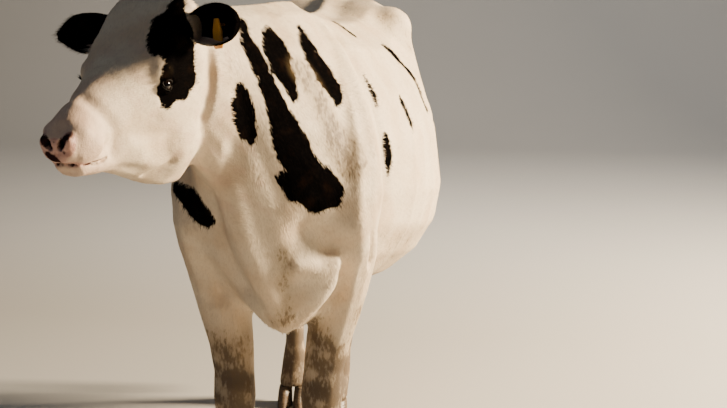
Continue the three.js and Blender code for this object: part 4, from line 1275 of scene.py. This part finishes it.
def dressed_hide():
    """The skin of body, ears and teats in one piece, and the pieces of coat on it."""
    coat, hide = coat_material("coat", True), coat_material("hide", False)
    skin = build_skin()
    points, normals, _ = read(skin.data)
    triangles = triangles_of(skin.data)
    store(skin.data, "marks", marks(points - OFFSET))
    skin.data.materials.append(hide)
    coats = coat_on(points - OFFSET, normals, triangles, coat)
    pieces = [skin]
    for name in SIDES:
        points, faces, info = ear_mesh(name)
        pieces.append(hide_object(f"ear_skin_{name}", points, faces, marks(points, info), hide))
        coats.append(coat_on_ear(name, points, faces, info, coat))
    for node in TEATS:
        points, faces = teat_mesh(node)
        mark = np.tile(UDDER_MARKS, (len(points), 1))
        pieces.append(hide_object(f"{node}_skin", points, faces, mark, hide))
    skin = joined_objects(pieces, "skin")
    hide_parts(*FLESH, "ear_left", "ear_right", *TEATS)
    coats.append(tail_hair(coat))
    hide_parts("tail_switch")
    coats += [lashes(name, side, coat) for name, side in SIDES.items()]
    for piece in [skin, *coats]:
        handed_in(piece)


def eyes_and_lids():
    lids, eyes = lid_material(), eye_material()
    for name, side in SIDES.items():
        handed_in(lid_mesh(name, side, lids))
        ball = eyeball(name, side, eyes)
        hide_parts(f"eye_{name}")
        handed_in(ball)


def dressed_nodes():
    """The claws and the tag are the frame's own nodes; modifiers round the claws off."""
    horn = horn_material()
    for name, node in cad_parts.items():
        if "claw" in name:
            node.data.materials.clear()
            node.data.materials.append(horn)
            node.modifiers.new("joined", "WELD").merge_threshold = 0.0001
            even = node.modifiers.new("even", "REMESH")
            even.mode, even.voxel_size, even.use_smooth_shade = "VOXEL", 0.003, True
            soft = node.modifiers.new("round", "SMOOTH")
            soft.factor, soft.iterations = 0.5, 9
    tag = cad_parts["ear_tag"]
    tag.data.materials.clear()
    tag.data.materials.append(tag_material())


# ---- Floor, light and camera ----
# The floor runs back from its near edge, curves up with a radius of FLOOR_CURVE, and goes on up to its top.
FLOOR_NEAR, FLOOR_BEND, FLOOR_CURVE, FLOOR_TOP, FLOOR_HALF_WIDTH = -8.0, 9.0, 4, 12.0, 14.0
MIDDLE = (0.0, 0.0, 1.0)  # what most lamps aim at, in cow coordinates
# Each lamp's place and aim in cow coordinates, its side, power and colour.
LAMPS = {
    "key": ((5.1, 2.0, 2.7), MIDDLE, 1.0, 1800, (1.0, 0.80, 0.54)),
    "top": ((0.5, 1.5, 5.0), MIDDLE, 4.0, 20, (0.90, 0.95, 1.0)),
    "fill": ((-3.0, -5.0, 2.2), MIDDLE, 4.0, 22, (0.70, 0.82, 1.0)),
    "backdrop": ((1.5, 4.5, 5.0), (2.5, 12.0, 1.5), 6.0, 420, (1.0, 0.95, 0.88)),
}
SKY, SKY_STRENGTH = (0.72, 0.80, 0.95, 1), 0.055
CAMERA = (0.553, -3.584, 1.500)  # in cow coordinates
HEADING, DIP = math.radians(5.4), math.radians(8.8906)  # turned from +y towards -x, and looking down
SENSOR, LENS = 36.0, 69.33  # millimetres


def studio_floor():
    """A pale sheet that runs back and curves up behind."""
    s = Shader("studio")
    s.set(Base_Color=s.mix(s.noise(0.6), (0.50, 0.485, 0.46), (0.54, 0.525, 0.50)), Roughness=0.9)
    profile = [(FLOOR_NEAR, 0.0), (FLOOR_BEND, 0.0)]
    for a in np.linspace(0.1, math.pi / 2, 12):
        profile.append((FLOOR_BEND + FLOOR_CURVE * math.sin(a), FLOOR_CURVE - FLOOR_CURVE * math.cos(a)))
    profile.append((FLOOR_BEND + FLOOR_CURVE, FLOOR_TOP))
    points = [(x, y, z) for y, z in profile for x in (-FLOOR_HALF_WIDTH, FLOOR_HALF_WIDTH)]
    faces = [(2 * k, 2 * k + 1, 2 * k + 3, 2 * k + 2) for k in range(len(profile) - 1)]
    mesh = bpy.data.meshes.new("floor")
    mesh.from_pydata(points, [], faces)
    shade_smooth(mesh)
    mesh.materials.append(s.material)
    floor = placed("floor", mesh)


def lamp(name, place, aim, size, power, colour):
    light = bpy.data.lights.new(name, "AREA")
    light.size, light.energy, light.color = size, power, colour
    place, aim = OFFSET + np.array(place), OFFSET + np.array(aim)
    made = placed(name, light)
    made.location = place
    made.rotation_euler = Vector(aim - place).to_track_quat("-Z", "Y").to_euler()


def studio():
    studio_floor()
    for name, settings in LAMPS.items():
        lamp(name, *settings)
    world = bpy.data.worlds.new("studio")
    bpy.context.scene.world = world
    world.use_nodes = True
    sky = world.node_tree.nodes["Background"]
    sky.inputs["Color"].default_value = SKY
    sky.inputs["Strength"].default_value = SKY_STRENGTH
    camera = bpy.data.cameras.new("camera")
    camera.sensor_width, camera.lens = SENSOR, LENS
    seat = placed("camera", camera)
    seat.location = OFFSET + np.array(CAMERA)
    seat.rotation_euler = (math.pi / 2 - DIP, 0, HEADING)
    bpy.context.scene.camera = seat


dressed_hide()
eyes_and_lids()
dressed_nodes()
studio()
